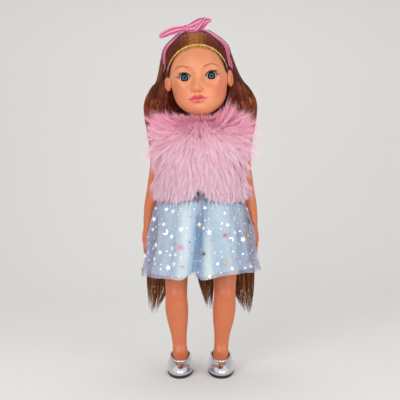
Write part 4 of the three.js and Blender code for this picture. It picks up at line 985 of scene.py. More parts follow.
def satin_leaf(name, path, half_widths, thickness, folds, phase, satin, node=None):
    """A folded end of satin along a path of the head's frame, with tucks that run along it."""
    share = np.linspace(0, 1, 60)
    keys = np.linspace(0, 1, len(path))
    x, y, z, width = through(np.column_stack([keys, path, half_widths]), share)
    middle = vectors(x, y, z)
    along = unit(np.gradient(middle, axis=0))
    wide = unit(np.cross(along, [0.0, -1.0, 0.0]))
    front = np.cross(wide, along)
    section = full_turn(40)
    place = np.cos(section)
    tuck = np.cos(folds * np.pi * place + phase + (2.2 * share + 0.5 * np.sin(9 * share))[:, None])
    swell = np.sqrt(np.clip(width / max(half_widths), 0.05, 1))[:, None]
    depth = thickness / 2 * np.sin(section) * swell + 0.16 * thickness * tuck * swell
    rings = (middle[:, None] + wide[:, None] * (width[:, None] * place)[:, :, None]
             + front[:, None] * depth[:, :, None])
    leaf = skin_piece(name, to_doll(rings), satin)
    # Each face is painted lighter on the ridges of its tucks and darker in their hollows: painted highlight
    # and painted shade.
    fold = 0.5 + 0.42 * tuck * np.sign(np.sin(section) + 0.01)
    store(leaf, fold=np.concatenate([fold.ravel(), [0.4, 0.4]]))
    dress(leaf, "head", node)


def make_bow(satin):
    top = HEAD_CENTRE + HEAD_HALF
    knot_at = np.array([-11.0, -28.5, top - 1.2])
    satin_leaf("bow_long_end", [knot_at + (2, 0, 0), (-19, -28, top - 0.6), (-31, -27, top - 2.8),
                                (-41, -25, top - 5.5), (-46.5, -24, top - 8)],
               [2.6, 4.8, 5.4, 4.2, 2.4], 4.2, 2.2, 0.6, satin, "bow_right_end")
    satin_leaf("bow_loop", [knot_at + (-2, 0, 0), (-2, -30, top - 0.2), (8, -30, top + 3.2),
                            (17, -29, top + 7.0), (23.0, -28, top + 7.2)],
               [2.6, 6.4, 7.6, 5.0, 2.4], 5.2, 2.6, 2.4, satin, "bow_left_end")
    satin_leaf("bow_short_end", [(15, -32.5, top + 9.5), (10.5, -34, top + 3.5), (5, -34, top - 1.5),
                                 (0, -33, top - 5.5)], [1.8, 2.8, 3.2, 1.8], 2.6, 1.6, 0.2, satin)
    make_knot(knot_at, satin)


def make_knot(middle, satin):
    away = np.linspace(0.03, np.pi - 0.03, 40)[:, None]
    turn = full_turn(48)
    # Folds wrap over the knot from top to bottom.
    wrap = 0.35 * np.cos(3.2 * turn) * np.sin(away) + 0.28 * np.cos(5 * away + 1)
    radius = 5.2 + wrap
    rings = middle + vectors(radius * 0.86 * np.cos(away), -radius * 0.8 * np.sin(away) * np.cos(turn),
                             radius * np.sin(away) * np.sin(turn))
    knot = skin_piece("bow_tie_knot", to_doll(rings), satin)
    # The bulges of the wrapped folds are painted lighter and their hollows darker: painted highlight and
    # painted shade.
    store(knot, fold=np.concatenate([(0.42 + 0.5 * wrap).ravel(), [0.4, 0.4]]))
    dress(knot, "head", "bow_knot")


# The long hair behind the shoulders, in three locks. Rows of drop, x, y, half width and half thickness.
FALL_TOP = 405.0
SIDE_LOCK = [[0, 41.5, 23.5, 12.5, 11], [26, 47.5, 28.5, 18, 12], [56, 50.4, 36.5, 21, 9.5],
             [80, 49, 44, 22, 6.5], [106, 46.1, 47.5, 22, 5.5], [250, 52, 47.5, 22, 5.5],
             [300, 61.5, 47.5, 14, 3.9], [330, 65, 47.5, 5, 2.2]]
MIDDLE_LOCK = [[0, 0, 45, 26, 7], [26, 0, 48, 29, 8], [56, 0, 47.5, 30, 8], [80, 0, 47.5, 29, 6.5],
               [106, 0, 47.5, 25, 5.5], [240, 3, 47.5, 20, 5.5], [290, 10, 47.5, 10, 3.9],
               [324, 12, 47.5, 3.5, 2.2]]
LOCKS = (("left", SIDE_LOCK, 1.0), ("right", SIDE_LOCK, -1.0), ("middle", MIDDLE_LOCK, 1.0))
# Where the hair leaves the head it lies fuller than the side locks under it.
HEAD_LOCK = [[0, 42.5, 22, 15.5, 12], [26, 49, 27, 20.5, 12.5], [42, 51.5, 32, 23.5, 11],
             [60, 51.5, 38, 23, 9], [80, 49, 44, 22.6, 7], [106, 46.1, 47.5, 22, 5.5],
             [130, 46.1, 47.5, 22, 5.5]]


def lock_point(rows, drop, turn, grow):
    """A point on a lock, at a drop from its top and a turn round it from its right-hand side."""
    x, y, wide, thick = through(rows, drop)
    return oval_at(turn, FALL_TOP - drop, (wide, thick, thick), grow, (x, y))


def lock_core(name, rings, hair):
    """The plain inside of a lock, which hardly shows between its strands."""
    core = skin_piece(name, rings, hair)
    store(core, run=0.3, tone=0.1)
    return core


def make_lock(name, rows, sign, hair):
    last = rows[-1][0]
    drops = np.linspace(28, last - 34, 60)[:, None]
    slim = -0.6 - 2.6 * smooth(last - 90, last - 34, drops)
    core = lock_core(f"{name}_lock_core", lock_point(rows, drops, full_turn(36), slim) * flipped(sign), hair)
    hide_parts(f"hair_fall_{name}")
    count = 700
    run = np.linspace(0, 1, 30)[None, :]
    around = chance.uniform(0, 2 * np.pi, (count, 1))
    around = around + 0.25 * np.sin(run * 5 + chance.uniform(0, 6, (count, 1)))
    finish = last - 95 * chance.random((count, 1)) ** 1.4 + 8 * chance.random((count, 1))
    drop = 20 + chance.uniform(0, 20, (count, 1)) + (finish - 40) * run
    on_lock = np.minimum(drop, last)
    sunk = -4.0 * smooth(86, 48, drop)
    points = lock_point(rows, on_lock, around, sunk + 0.1 + chance.uniform(0, 1.3, (count, 1)))
    wave = 1.6 * np.sin(drop / 17 + 0.8 * np.sin(around)) * smooth(90, 200, drop)
    points[..., 0] += wave + (drop - on_lock) * chance.normal(0, 0.3, (count, 1))
    points[..., 2] = FALL_TOP - drop
    facing = vectors(sign * np.cos(around), np.sin(around), 0.0)
    strands = strand_mesh(f"{name}_lock_strands", points * flipped(sign), 1.9 * (1 - 0.8 * run**3), facing,
                          hair, chance.beta(2, 3, count) * 0.7)
    for piece in (core, strands):
        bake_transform(piece)


def hang_from_head(name, way, low, drop, facing, rise, width, tones, hair, ahead=0.0):
    """Strands that follow directions over the head and then go over to points on the locks."""
    run = np.linspace(0, 1, way.shape[1])[None, :]
    share = smooth(0.22, 0.58, run)[..., None]
    high = to_doll(skull_points(way, hair_depth(way) + rise))
    low[..., 2] = FALL_TOP - drop
    points = outside_cap(high * (1 - share) + low * share, rise)
    # Strands beside the face turn partly to the front, so that the mass looks full from there as well.
    face = unit(turn_to_doll(way) * (1 - share) + facing * share)
    face[..., 1] -= ahead * chance.random((len(way), 1)) * smooth(0, 0.15, share[..., 0] + 0.1)
    widths = width * (1 - 0.8 * run**4) * smooth(0, 0.06, run) + 0.1
    dress(strand_mesh(name, points, widths, unit(face), hair, tones), "head")


def make_back_hair(hair):
    """The hair that leaves the crown and covers the tops of the three locks, and moves with the head."""
    count = 2300
    run = np.linspace(0, 1, 20)[None, :]
    target = chance.uniform(-1, 1, count)
    target = np.sign(target) * np.abs(target) ** 0.75
    finish = 66 + 50 * chance.random((count, 1)) ** 1.3
    drop = -36 + (finish + 36) * run
    # The outer strands go to the side locks, and the rest to the middle one.
    side = np.abs(target) > 0.36
    sign = np.sign(target)
    across = np.where(side, (np.abs(target) - 0.36) / 0.64, target / 0.36)
    turn = np.where(side, np.pi * (0.7 - 1.5 * across), np.pi * (0.5 - 0.45 * across))[:, None]
    turn = turn + chance.normal(0, 0.06, (count, 1))
    rise = 0.6 + chance.uniform(0, 1.6, (count, 1))
    from_top = np.clip(drop, 0, None)
    on_side = lock_point(HEAD_LOCK, from_top, turn, rise) * flipped(sign)[:, None]
    low = np.where(side[:, None, None], on_side, lock_point(MIDDLE_LOCK, from_top, turn, rise))
    # Over the head each strand keeps its own distance from the middle, from the crown to the nape.
    crown = chance.uniform(106, 140, (count, 1))
    over = np.radians(crown + (200 - crown) * np.clip(run / 0.6, 0, 1))
    way = lateral(np.clip(target * 0.96, -0.93, 0.93)[:, None], over)
    out = vectors(np.where(side, sign, 1.0)[:, None] * np.cos(turn), np.sin(turn), 0.0)
    hang_from_head("back_hair", way, low, drop, out, rise, 2.2, chance.beta(2, 3, count) * 0.68, hair)


def make_side_hair(hair):
    """Beside the face hair leaves the head behind the band, passes the ear and falls in front of the rest."""
    count = 1100
    run = np.linspace(0, 1, 20)[None, :]
    sign = np.where(np.arange(count) % 2, 1.0, -1.0)
    down = 1.22 * chance.random(count) ** 0.85
    root = band_direction(np.radians(18 + 72 * down))
    # At the doll's right it covers the lower end of the band.
    root[:, 1] += np.where(sign > 0, 0.13, 0.13 - 0.24 * smooth(0.62, 1, down))
    last = vectors(0.66 + 0.25 * down, 0.74 - 0.36 * down, -0.12 - 0.3 * down)
    bend = np.clip(run / 0.55, 0, 1)[..., None]
    way = root[:, None] * (1 - bend) + last[:, None] * bend
    way[..., 1] += 0.10 * np.sin(np.pi * bend[..., 0])
    mirror = flipped(sign)[:, None]
    way = unit(way) * mirror
    rise = 0.9 + chance.uniform(0, 1.8, (count, 1))
    first_drop = (-44 + 42 * down)[:, None]
    drop = first_drop + (76 + 46 * chance.random((count, 1)) ** 1.2 - first_drop) * run
    turn = np.radians(34 - 112 * down + chance.normal(0, 7, count))[:, None]
    low = lock_point(HEAD_LOCK, np.clip(drop, 0, 130), turn, rise + 0.6) * mirror
    out = vectors(sign[:, None] * np.cos(turn), np.sin(turn), 0.0)
    tones = 0.1 + chance.beta(2, 2.8, count) * 0.75
    hang_from_head("side_hair", way, low, drop, out, rise, 2.0, tones, hair, 2.4)


def make_lock_tops(hair):
    """Plain hair under the strands that hang from the head, over the top of each lock."""
    drops = np.linspace(-2, 64, 24)[:, None]
    shrink = -4.5 * smooth(12, -2, drops) + 0.2
    for name, rows, sign in sorted(LOCKS):
        rings = lock_point(rows, np.clip(drops, 0, None), full_turn(36), shrink) * flipped(sign)
        rings[..., 2] = FALL_TOP - drops
        dress(lock_core(f"back_hair_{name}", rings, hair), "head")


# Dress. Rows of height, with the half width, front depth and back depth of the gilet and of the torso.
GILET_ROWS = [[231, 60, 50, 37], [245, 61, 50, 38], [269, 61, 47, 39], [288, 63, 43, 39], [306, 68, 37, 39],
              [316, 64, 31, 37], [327, 34, 26, 31]]
TORSO_ROWS = [[226, 38, 26, 26], [248, 32, 24, 22], [274, 34.5, 26, 23], [294, 41, 24, 24], [308, 45, 20, 22],
              [318, 42, 16, 18], [326, 25, 13.5, 15.5], [333, 14.5, 14.5, 14.5], [345, 14.5, 14.5, 14.5]]
# Each panel of the gilet: its name, its turns in degrees, its flat width in metres, and its roots to a
# square millimetre.
PANELS = (("left_front", -89.0, 0.0, 0.1, 2.7), ("right_front", 180.0, 269.0, 0.1, 2.7),
          ("back", 0.0, 180.0, 0.19, 2.1))
GILET_FOOT = 232
GILET_TOP = 325.5
# The panels lie this far inside the gilet's rows, and the half width of their front is this.
PANEL_GROW = -7.0
PANEL_HALF = 54
ARMHOLE_Y = 2.0
ARMHOLE_Z = 300.0
ARMHOLE_DEEP = 15.0
ARMHOLE_TALL = 21.0
# The notch at the foot of the gilet's front: its rise, its middle and its width.
NOTCH = (15, -0.5, 5.5)
# The pile: the points of a strand, its drawn width, its wave and the spacing of its locks.
PILE_STEPS = 4
PILE_WIDTH = 0.46
PILE_CURL = 1.6
PILE_LOCK = 3.4
# How many roots are sorted into locks at a time.
PILE_BATCH = 4000
# The pile spreads over the shoulders from a point at this height in the neck.
COMB_FROM = 345
# The bodice and the waistband are no wider than this to each side.
BODICE_HALF = 40.0


# Faux fur: long acrylic pile, crimped into soft locks, dyed pink and paler at its tips.
def acrylic_pile():
    material, tree, shader = start_material("acrylic_pile", "#f0a0c8", Roughness=0.62, IOR=1.49,
                                            Sheen_Weight=0.5, Sheen_Roughness=0.4,
                                            Sheen_Tint=hex_colour("#ffdfec"))
    tone = stored(tree, "tone")
    height = add(tree, "SeparateXYZ", {0: object_place(tree)}).outputs["Z"]
    root = colour_ramp(tree, tone, [(0.0, "#ffa3c4"), (0.5, "#ffbad2"), (1.0, "#ffcede")])
    tip = colour_ramp(tree, tone, [(0.0, "#ffb2cf"), (0.4, "#ffcbde"), (0.75, "#ffe0eb"), (1.0, "#fffafc")])
    along = mix(tree, remap(tree, stored(tree, "run"), 0.0, 0.6, 0.12, 1.0), root, tip)
    # It is rosier towards the collar and paler towards the hem.
    rosy = mix(tree, remap(tree, height, 0.295, 0.335, 0.0, 0.4), along, hex_colour("#ff93ba"))
    pale = mix(tree, remap(tree, height, 0.325, 0.235, 0.0, 0.72), rosy, hex_colour("#fbe0ec"))
    connect(tree, shader, pale)
    return material


# The pile's knitted backing, which hardly shows between the roots.
def knitted_backing():
    material, tree, shader = start_material("knitted_backing", "#cf7aa2", Roughness=0.9)
    stitches = add(tree, "TexVoronoi", {"Vector": object_place(tree), "Scale": 900.0}).outputs["Distance"]
    connect(tree, shader, colour_ramp(tree, stitches, [(0.0, "#d98ab0"), (0.6, "#b3608a")]))
    return material


def pile(name, roots, normals, comb, length, fur):
    """Pile from roots: each strand leaves along its normal, is combed, and leans to its lock's middle."""
    count = len(roots)
    run = np.linspace(0, 1, PILE_STEPS)[None, :, None]
    # Each strand belongs to the lock whose middle is nearest to its root.
    locks = int(count / (PILE_LOCK * PILE_LOCK * 1.2))
    middles = roots[chance.choice(count, locks, replace=False)]
    owner = np.concatenate([
        np.argmin(((roots[start:start + PILE_BATCH, None] - middles) ** 2).sum(axis=2), axis=1)
        for start in range(0, count, PILE_BATCH)])
    lock_tone = chance.beta(2.2, 2.2, locks)[owner]
    lock_lean = chance.normal(0, 1, (locks, 3))[owner][:, None]
    lock_long = chance.uniform(0.75, 1.12, locks)[owner]
    reach = (length * lock_long * chance.uniform(0.8, 1.05, count))[:, None, None]
    stray = chance.normal(0, 1, (count, 1, 3))
    out = normals[:, None]
    way = comb[:, None] + 0.17 * lock_lean
    gather = (middles[owner] - roots)[:, None]
    wave = PILE_CURL * np.sin(4.0 * run + 6.28 * lock_tone[:, None, None]) * lock_lean * 0.35 * run
    grown = out * 0.56 * (run - 0.45 * run**2) + way * (0.3 * run + 0.55 * run**2)
    points = (roots[:, None] + reach * grown + gather * 0.5 * run**1.5
              + stray * 0.07 * reach * run**1.4 + wave)
    tones = np.clip(0.65 * lock_tone + 0.35 * chance.random(count), 0, 1)
    side = unit(np.cross(np.gradient(points, axis=1), out + 0.7 * stray))
    half = PILE_WIDTH / 2 * np.array([1.0, 1.0, 0.7, 0.12])[None, :, None]
    edges = np.stack([points - side * half, points + side * half], axis=2).reshape(-1, 3)
    first = (np.arange(count)[:, None] * PILE_STEPS + np.arange(PILE_STEPS - 1)).reshape(-1) * 2
    faces = np.stack([first, first + 1, first + 3, first + 2], axis=1)
    coat = mesh_piece(name, edges, faces.tolist(), fur)
    store(coat, run=np.tile(np.repeat(run.ravel(), 2), count), tone=np.repeat(tones, 2 * PILE_STEPS))
    dress(coat, "torso")


def gilet_point(turn, z, grow):
    return oval_at(turn, z, through(GILET_ROWS, z), grow)


def gilet_roots(turns, density):
    """Roots strewn evenly over the gilet between two turns, with the surface's outward normals."""
    low, high = GILET_FOOT - 0.5, GILET_TOP + 0.5
    mean_reach = 52
    grow = PANEL_GROW + 0.4
    area = (turns[1] - turns[0]) * mean_reach * (high - low)
    count = int(area * density)
    turn = chance.uniform(*turns, count)
    z = chance.uniform(low, high, count)
    points = gilet_point(turn, z, grow)
    ahead = gilet_point(turn + 0.01, z, grow) - points
    above = gilet_point(turn, z + 0.2, grow) - points
    held = on_gilet(points)
    return points[held], unit(np.cross(ahead, above))[held]


def on_gilet(points):
    """Whether pile grows at a point: not in the armholes, the front slit or the notch at its foot."""
    x, y, z = points.T
    armhole = (np.abs(x) > 47) & (
        np.hypot((y - ARMHOLE_Y) / (ARMHOLE_DEEP + 1), (z - ARMHOLE_Z) / (ARMHOLE_TALL + 1)) < 1)
    rise, middle, width = NOTCH
    notch = z < GILET_FOOT - 0.5 + 4 * bump(x, 0, 18) + rise * bump(x, middle, width)
    return ~armhole & ~((y < 0) & ((np.abs(x) < 0.8) | notch))


def gilet_comb(roots):
    """Which way the pile is combed at its roots, and how long it is."""
    x, y, z = roots.T
    away = np.abs(x)
    outwards = np.sign(x)
    # It runs straight down, and over the shoulders it spreads out from the neck.
    upper = smooth(268, 304, z)[:, None]
    comb = upper * unit(vectors(x, 0.0, z - COMB_FROM)) + (1 - upper) * np.array([0.0, 0.0, -1.0])
    # It closes over the slit, and over the notch it parts.
    front = bump(x, 0, 7) * (y < 0)
    parting = front * smooth(262, 246, z)
    comb[:, 0] += outwards * (0.7 * parting - 0.5 * front * smooth(240, 262, z) * smooth(318, 300, z))
    # At the outer edge of the shoulders it stands up, and it spreads at the sides of the hem.
    crest = np.interp(away, [34, 49, 60, 66], [327, 322, 318, 310])
    standing = smooth(14, 2, crest - z) * smooth(16, 36, away)
    comb[:, 2] += 1.3 * standing
    hem = smooth(36, 58, away) * smooth(276, 246, z)
    comb[:, 0] += outwards * (0.15 * standing + np.where(x > 0, 0.6, 0.4) * hem)
    length = 9.5 + 10.5 * smooth(234, 254, z) - 4 * parting + 2 * upper[:, 0] + 7 * standing
    return unit(comb), length


def make_gilet(fur, backing):
    rise = np.linspace(0, 1, 44)[:, None]
    notch_rise, middle, width = NOTCH
    for name, first, last, flat_width, density in PANELS:
        turn = np.radians(np.linspace(first, last, 90))
        # The lower edge rises to the notch at the middle of the front.
        notch = notch_rise * bump(PANEL_HALF * np.cos(turn), middle, width) * (np.sin(turn) < 0)
        foot = GILET_FOOT + notch
        points = gilet_point(turn, foot + (GILET_TOP - foot) * rise, PANEL_GROW)
        panel = cloth_shell(f"gilet_{name}_panel", points, 1.6, backing)
        cut_armholes(panel)
        dress(panel, "torso", f"gilet_{name}")
        roots, normals = gilet_roots(np.radians([first, last]), density)
        pile(f"gilet_{name}_pile", roots, normals, *gilet_comb(roots), fur)


def cut_armholes(panel):
    """Takes the armholes out of a panel of the gilet."""
    for side in (-1, 1):
        bpy.ops.mesh.primitive_cylinder_add(vertices=48, radius=1, depth=0.06, rotation=(0, math.pi / 2, 0),
                                            location=(side * 0.078, ARMHOLE_Y * MM, ARMHOLE_Z * MM))
        tool = bpy.context.object
        tool.scale = (ARMHOLE_TALL * MM, ARMHOLE_DEEP * MM, 1)
        bpy.ops.object.transform_apply(location=True, rotation=True, scale=True)
        with_tool(panel, tool)


def collar_point(turn, up, grow=0.0):
    """A point of the collar, at a share of its height."""
    reach = 31 + grow - (10.5 + grow) * smooth(0, 0.8, up)
    return vectors(reach * 1.04 * np.cos(turn), 4 + (reach - 1.5) * np.sin(turn), 322 + 15 * up)


def make_collar(fur, backing):
    """The stand collar: a band of pile round the neck that opens at the throat."""
    turn = np.radians(np.linspace(-88, 268, 120))
    band = cloth_shell("collar_band", collar_point(turn, np.linspace(0, 1, 14)[:, None]), 1.6, backing)
    dress(band, "torso", "gilet_collar")
    count = 14000
    around = chance.uniform(math.radians(-89), math.radians(269), count)
    up = chance.random(count)
    out = unit(vectors(np.cos(around), np.sin(around), 0.45 + 0.2 * up))
    beside = np.abs(np.cos(around)) ** 1.5
    # At the left of the throat longer pile stands up beside the jaw.
    jaw = bump(np.degrees(around), -32, 24) * smooth(0.9, 0.4, up)
    comb = out * (0.3 + 0.45 * beside)[:, None]
    comb[:, 2] = 1.2 * smooth(0.72, 1.0, up) * (1 - 0.7 * beside) - 0.95 + 0.85 * beside + 1.6 * jaw
    pile("collar_pile", collar_point(around, up, 1.0), out, comb, 17 + 8 * beside + 3 * jaw, fur)


# Skirt. Rows of share of the drop, with the half width, front depth and back depth of the gathered cloth.
SKIRT_TOP = 239.2
SKIRT_ROWS = [[0, 38, 28, 25], [0.12, 54.5, 39, 31.8], [0.36, 62, 48.8, 35.2], [0.7, 68.7, 54.9, 34.8],
              [1, 76.4, 58.4, 34.4]]
SATIN_DROP = 107.5
NET_DROP = 111.0
# How far the sides of the satin are drawn in under the net.
SATIN_PULL = 11.0
# A phase that places the folds round the skirt, in radians.
SHIFT = 0.7


def skirt_point(turn, share, drop, grow, pull=0.0):
    """A point of the skirt, and the painted light and shade of its folds there. pull draws the cloth in at
    the sides.
    """
    wide, front, back = through(SKIRT_ROWS, share)
    wide = wide - pull * smooth(0.05, 0.6, share) + 0.33 * (SATIN_PULL - pull) * bump(share, 0.45, 0.22)
    fan = smooth(0, 0.6, share)
    sway = 0.5 * np.sin(2 * turn + SHIFT) + 0.35 * np.sin(5 * turn + 2 * SHIFT)
    fold = np.cos(14 * turn + np.pi / 2 + sway) + 0.35 * np.cos(23 * turn + 3 * SHIFT) * (1 - 0.4 * share)
    fine = 0.55 * np.cos(61 * turn + 5 * SHIFT + 2 * sway) * smooth(0.5, 0.02, share)
    # A pleat runs down from the middle of the front to the doll's right. A panel at each side of it is
    # painted lighter, as painted light, and the pleat darker, as painted shade.
    beside = (turn + np.pi / 2 - 0.06 + 0.2 * share + np.pi) % (2 * np.pi) - np.pi
    pleat = bump(beside, 0, 0.07) * smooth(0.08, 0.35, share)
    panels = bump(beside, -0.34, 0.2) + bump(beside, 0.36, 0.15) - 1.1 * bump(beside, 0.06, 0.12)
    out = grow + 2.5 * fan * fold + fine - 5.5 * pleat
    # The hem lifts at the pleat and towards the sides, more at the doll's left.
    lift = 8 * smooth(-0.2, 0.95, np.cos(turn)) + 1.5 * smooth(0.7, 1, -np.cos(turn))
    lift = lift + 8 * bump(beside, -0.01, 0.1) - 0.5 * bump(beside, 0.22, 0.1)
    lift = lift + 0.8 * np.sin(5 * turn + SHIFT)
    points = oval_at(turn, SKIRT_TOP - share * drop + lift * share**2, (wide, front, back), out)
    # The ridges of the folds are painted lighter and the pleat darker: painted highlight and painted shade.
    return points, np.clip(0.5 + 0.3 * fold * fan + 0.25 * fine - 0.6 * pleat + 0.3 * panels, 0, 1)


def make_skirt_layer(name, node, material, drop, grow, pull, thick):
    """A layer of the skirt, in a left and a right half that overlap at the front and the back."""
    share = np.linspace(0, 1, 64)[:, None]
    for side, start, finish in (("left", -np.pi / 2 + 0.09, np.pi / 2 + 0.03),
                                ("right", np.pi / 2 - 0.03, 1.5 * np.pi + 0.12)):
        turn = np.linspace(start, finish, 190)
        under = 0.0
        if side == "left":
            # The left half's edges tuck under the right half's.
            under = -0.8 * smooth(0.16, 0.04, np.minimum(turn - start, finish - turn))
        points, fold = skirt_point(turn, share, drop, grow + under, pull)
        half = cloth_shell(f"{name}_{side}", points, thick, material)
        store(half, fold=on_both_sides(half, fold))
        hang_on_leg(half)
        if side == "left":
            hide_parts(node)


# Nylon tulle: a fine net of pale blue, drawn with cells of about 1 mm, and mostly see-through.
def nylon_tulle():
    material, tree, shader = start_material("nylon_tulle", "#c9c9e4", Roughness=0.6)
    place = object_place(tree)
    cells = add(tree, "TexVoronoi", {"Vector": place, "Scale": 950.0}, feature="DISTANCE_TO_EDGE")
    connect(tree, shader, remap(tree, cells.outputs["Distance"], 0.02, 0.16, 0.58, 0.12), "Alpha")
    # Its colour follows the fold value: painted shade in the hollows of the folds and painted light on their
    # ridges.
    shade = colour_ramp(tree, stored(tree, "fold"), [(0.0, "#a3b9d6"), (0.6, "#cddde9"), (1.0, "#eaf3f7")])
    # At the sides it is painted a darker lilac grey: painted shade where less satin lies behind the net.
    aside = calculate(tree, "ABSOLUTE", add(tree, "SeparateXYZ", {0: place}).outputs["X"])
    lilac_side_shade = remap(tree, aside, 0.035, 0.066, 0.0, 0.6)
    connect(tree, shader, mix(tree, lilac_side_shade, shade, hex_colour("#aba4c8")))
    return material


# Hot-stamped foil: bright flakes of silver, pink, champagne and bronze.
def stamped_foil():
    material, tree, shader = start_material("stamped_foil", "#f2f2f6", Roughness=0.3, Metallic=0.3)
    tints = [(0.0, "#ffffff"), (0.6, "#f1f4f8"), (0.72, "#d0608f"), (0.87, "#cdb989"), (0.95, "#6f6a52")]
    connect(tree, shader, colour_ramp(tree, stored(tree, "tone"), tints, "CONSTANT"))
    return material


def ring_at(angle, reach):
    return np.stack([reach * np.cos(angle), reach * np.sin(angle)], axis=1)


def foil_outline(kind, radius, spin):
    """A flat star, dot or crescent, as points about the origin, in order round its edge."""
    if kind == "star":
        return ring_at(full_turn(10) + spin, radius * np.where(np.arange(10) % 2, 0.37, 1.0))
    if kind == "dot":
        return ring_at(full_turn(8), 0.5 * radius)
    outer = ring_at(np.radians(np.linspace(-125, 125, 9)), radius)
    inner = ring_at(np.radians(np.linspace(100, -100, 7)), 0.78 * radius) - [0.42 * radius, 0]
    turned = np.array([[math.cos(spin), -math.sin(spin)], [math.sin(spin), math.cos(spin)]])
    return np.concatenate([outer, inner]) @ turned.T


def net_point(turn, share):
    """A point on the net, at the height of its foil."""
    return skirt_point(turn, share, NET_DROP, 3.1)[0]


def free_spot(middle, radius, taken):
    """Where a flake meets none that is there already: its turn, its share of the drop and its point. After 40
    tries it is laid over others."""
    for _ in range(40):
        turn = middle + chance.uniform(-np.pi / 2, np.pi / 2)
        share = chance.uniform(0.05, 0.97)
        spot = net_point(turn, share)
        if all(np.linalg.norm(spot - other) > radius + far + 1.0 for other, far in taken):
            break
    taken.append((spot, radius))
    return turn, share, spot


def foil_ring(kind, radius, turn, share, spot):
    """The edge of a flake that lies flat on the net at a spot, half a millimetre above it."""
    across = unit(net_point(turn + 0.02, share) - spot)
    down = net_point(turn, share + 0.01) - spot
    down = unit(down - across * (down @ across))
    out = np.cross(down, across)
    out = out * np.sign(out @ np.array([math.cos(turn), math.sin(turn), 0]))
    edge = foil_outline(kind, radius, chance.uniform(0, 6.28))
    return spot + edge[:, :1] * across + edge[:, 1:] * down + out * 0.5


def make_foil(material):
    """The foil stars, crescents and dots, strewn over each half of the net."""
    for side, middle in (("left", 0.0), ("right", np.pi)):
        points, faces, tones, taken = [], [], [], []
        for kind in ["star"] * 58 + ["crescent"] * 9 + ["dot"] * 110:
            sizes = {"star": chance.uniform(2.4, 4.8), "crescent": chance.uniform(2.6, 3.6),
                     "dot": chance.uniform(1.2, 2.4)}
            ring = foil_ring(kind, sizes[kind], *free_spot(middle, sizes[kind], taken))
            faces.append(list(range(len(points), len(points) + len(ring))))
            points.extend(ring)
            tones.extend([chance.random()] * len(ring))
        foil = mesh_piece(f"foil_stars_{side}", points, faces, material, smooth_faces=False)
        store(foil, tone=tones)
        modify(foil, "SOLIDIFY", thickness=0.12 * MM)
        face_outwards(foil)
        hang_on_leg(foil)


def make_bodice(satin):
    """The sleeveless bodice and the waistband, which hardly show under the gilet."""
    turn = np.linspace(0, 2 * np.pi, 121)
    gathers = np.cos(24 * turn)
    for name, node, low, high, grow in (("satin_bodice", "dress_bodice", 246.5, 291.5, 1.3),
                                        ("satin_waistband", "skirt_waistband", 236.6, 246.0, 3.2)):
        heights = np.linspace(low, high, 30)[:, None]
        points = oval_at(turn, heights, through(TORSO_ROWS, heights), grow + 0.25 * gathers)
        points[..., 0] = np.clip(points[..., 0], -BODICE_HALF, BODICE_HALF)
        cloth = cloth_shell(name, points, 0.9, satin)
        # The ridges of the gathers are painted lighter and their hollows darker: painted highlight and
        # painted shade.
        store(cloth, fold=on_both_sides(cloth, np.tile(0.5 + 0.3 * gathers, len(heights))))
        dress(cloth, "torso", node)


# Limbs. Rows of height from the shoulder, x, y, half width and half depth.
ARM_ROWS = [[-108, 71.0, 9, 6.6, 7.6], [-100, 70.0, 9.45, 7.4, 8.0], [-84.2, 67.0, 9, 9.4, 9.6],
            [-68, 64.0, 7.5, 9.6, 10.2], [-42, 59.5, 5.0, 10.2, 11.0], [-18.4, 55.4, 3.0, 11.6, 12.0],
            [0, 53.5, 2.0, 12.6, 12.6]]
HAND_ROWS = [[-134, 75.5, 12, 4.0, 10.0], [-126, 74.5, 11.5, 4.9, 11.0], [-114, 71.9, 9.6, 5.6, 8.6],
             [-108, 71.0, 9, 6.6, 7.6]]
# Rows of height from the ground, x, front depth, back depth and half width.
LEG_ROWS = [[5.3, 27, 40, 17.5, 13.4], [10.3, 27, 41, 18.5, 14.2], [14.3, 27, 36, 18.4, 13.4],
            [18.3, 27, 23, 17.6, 12], [23.3, 27.2, 12, 16.8, 10.6], [32.3, 27.8, 6.5, 14.5, 9.6],
            [47.3, 29, 7, 15.5, 10.4], [70, 31, 10.5, 18.5, 14.2], [84, 32, 12, 19.5, 15.4],
            [102, 32.5, 14, 17, 14.6], [114, 32.5, 14.5, 16.5, 14.8], [138, 32.8, 14.5, 18.5, 16.6],
            [162, 33, 17, 20, 19.2], [185, 33, 17.5, 20.5, 20.2], [195, 33, 20.4, 23.4, 20.2],
            [204, 33, 22.8, 25.2, 20.2]]


def finger(root, tip, radius, skin):
    """A finger that swells a little at its joints and rounds off at its tip."""
    root, tip = np.asarray(root, float), np.asarray(tip, float)
    along = unit(tip - root)
    across = unit(np.cross(along, [0.0, 1.0, 0.0]))
    up = np.cross(along, across)
    share = np.linspace(-0.12, 1.0, 26)
    length = np.linalg.norm(tip - root)
    close = np.clip((length * (1 - share) + radius) / (radius * 1.35), 0, 1)
    round_off = np.sqrt(np.clip(1 - (1 - close) ** 2, 0.004, 1))
    swell = 1 - 0.14 * share + 0.07 * bump(share, 0.42, 0.1) + 0.05 * bump(share, 0.74, 0.08)
    middle = root + np.outer(length * share + radius * smooth(0.85, 1, share) * 0.9, along)
    curl = -1.6 * smooth(0.2, 1.1, share) ** 1.5
    turn = full_turn(18)[:, None]
    ring = (radius * swell * round_off)[:, None, None] * (across * np.cos(turn) + up * np.sin(turn))
    return skin_piece("finger", middle[:, None] + ring + across * curl[:, None, None], skin)


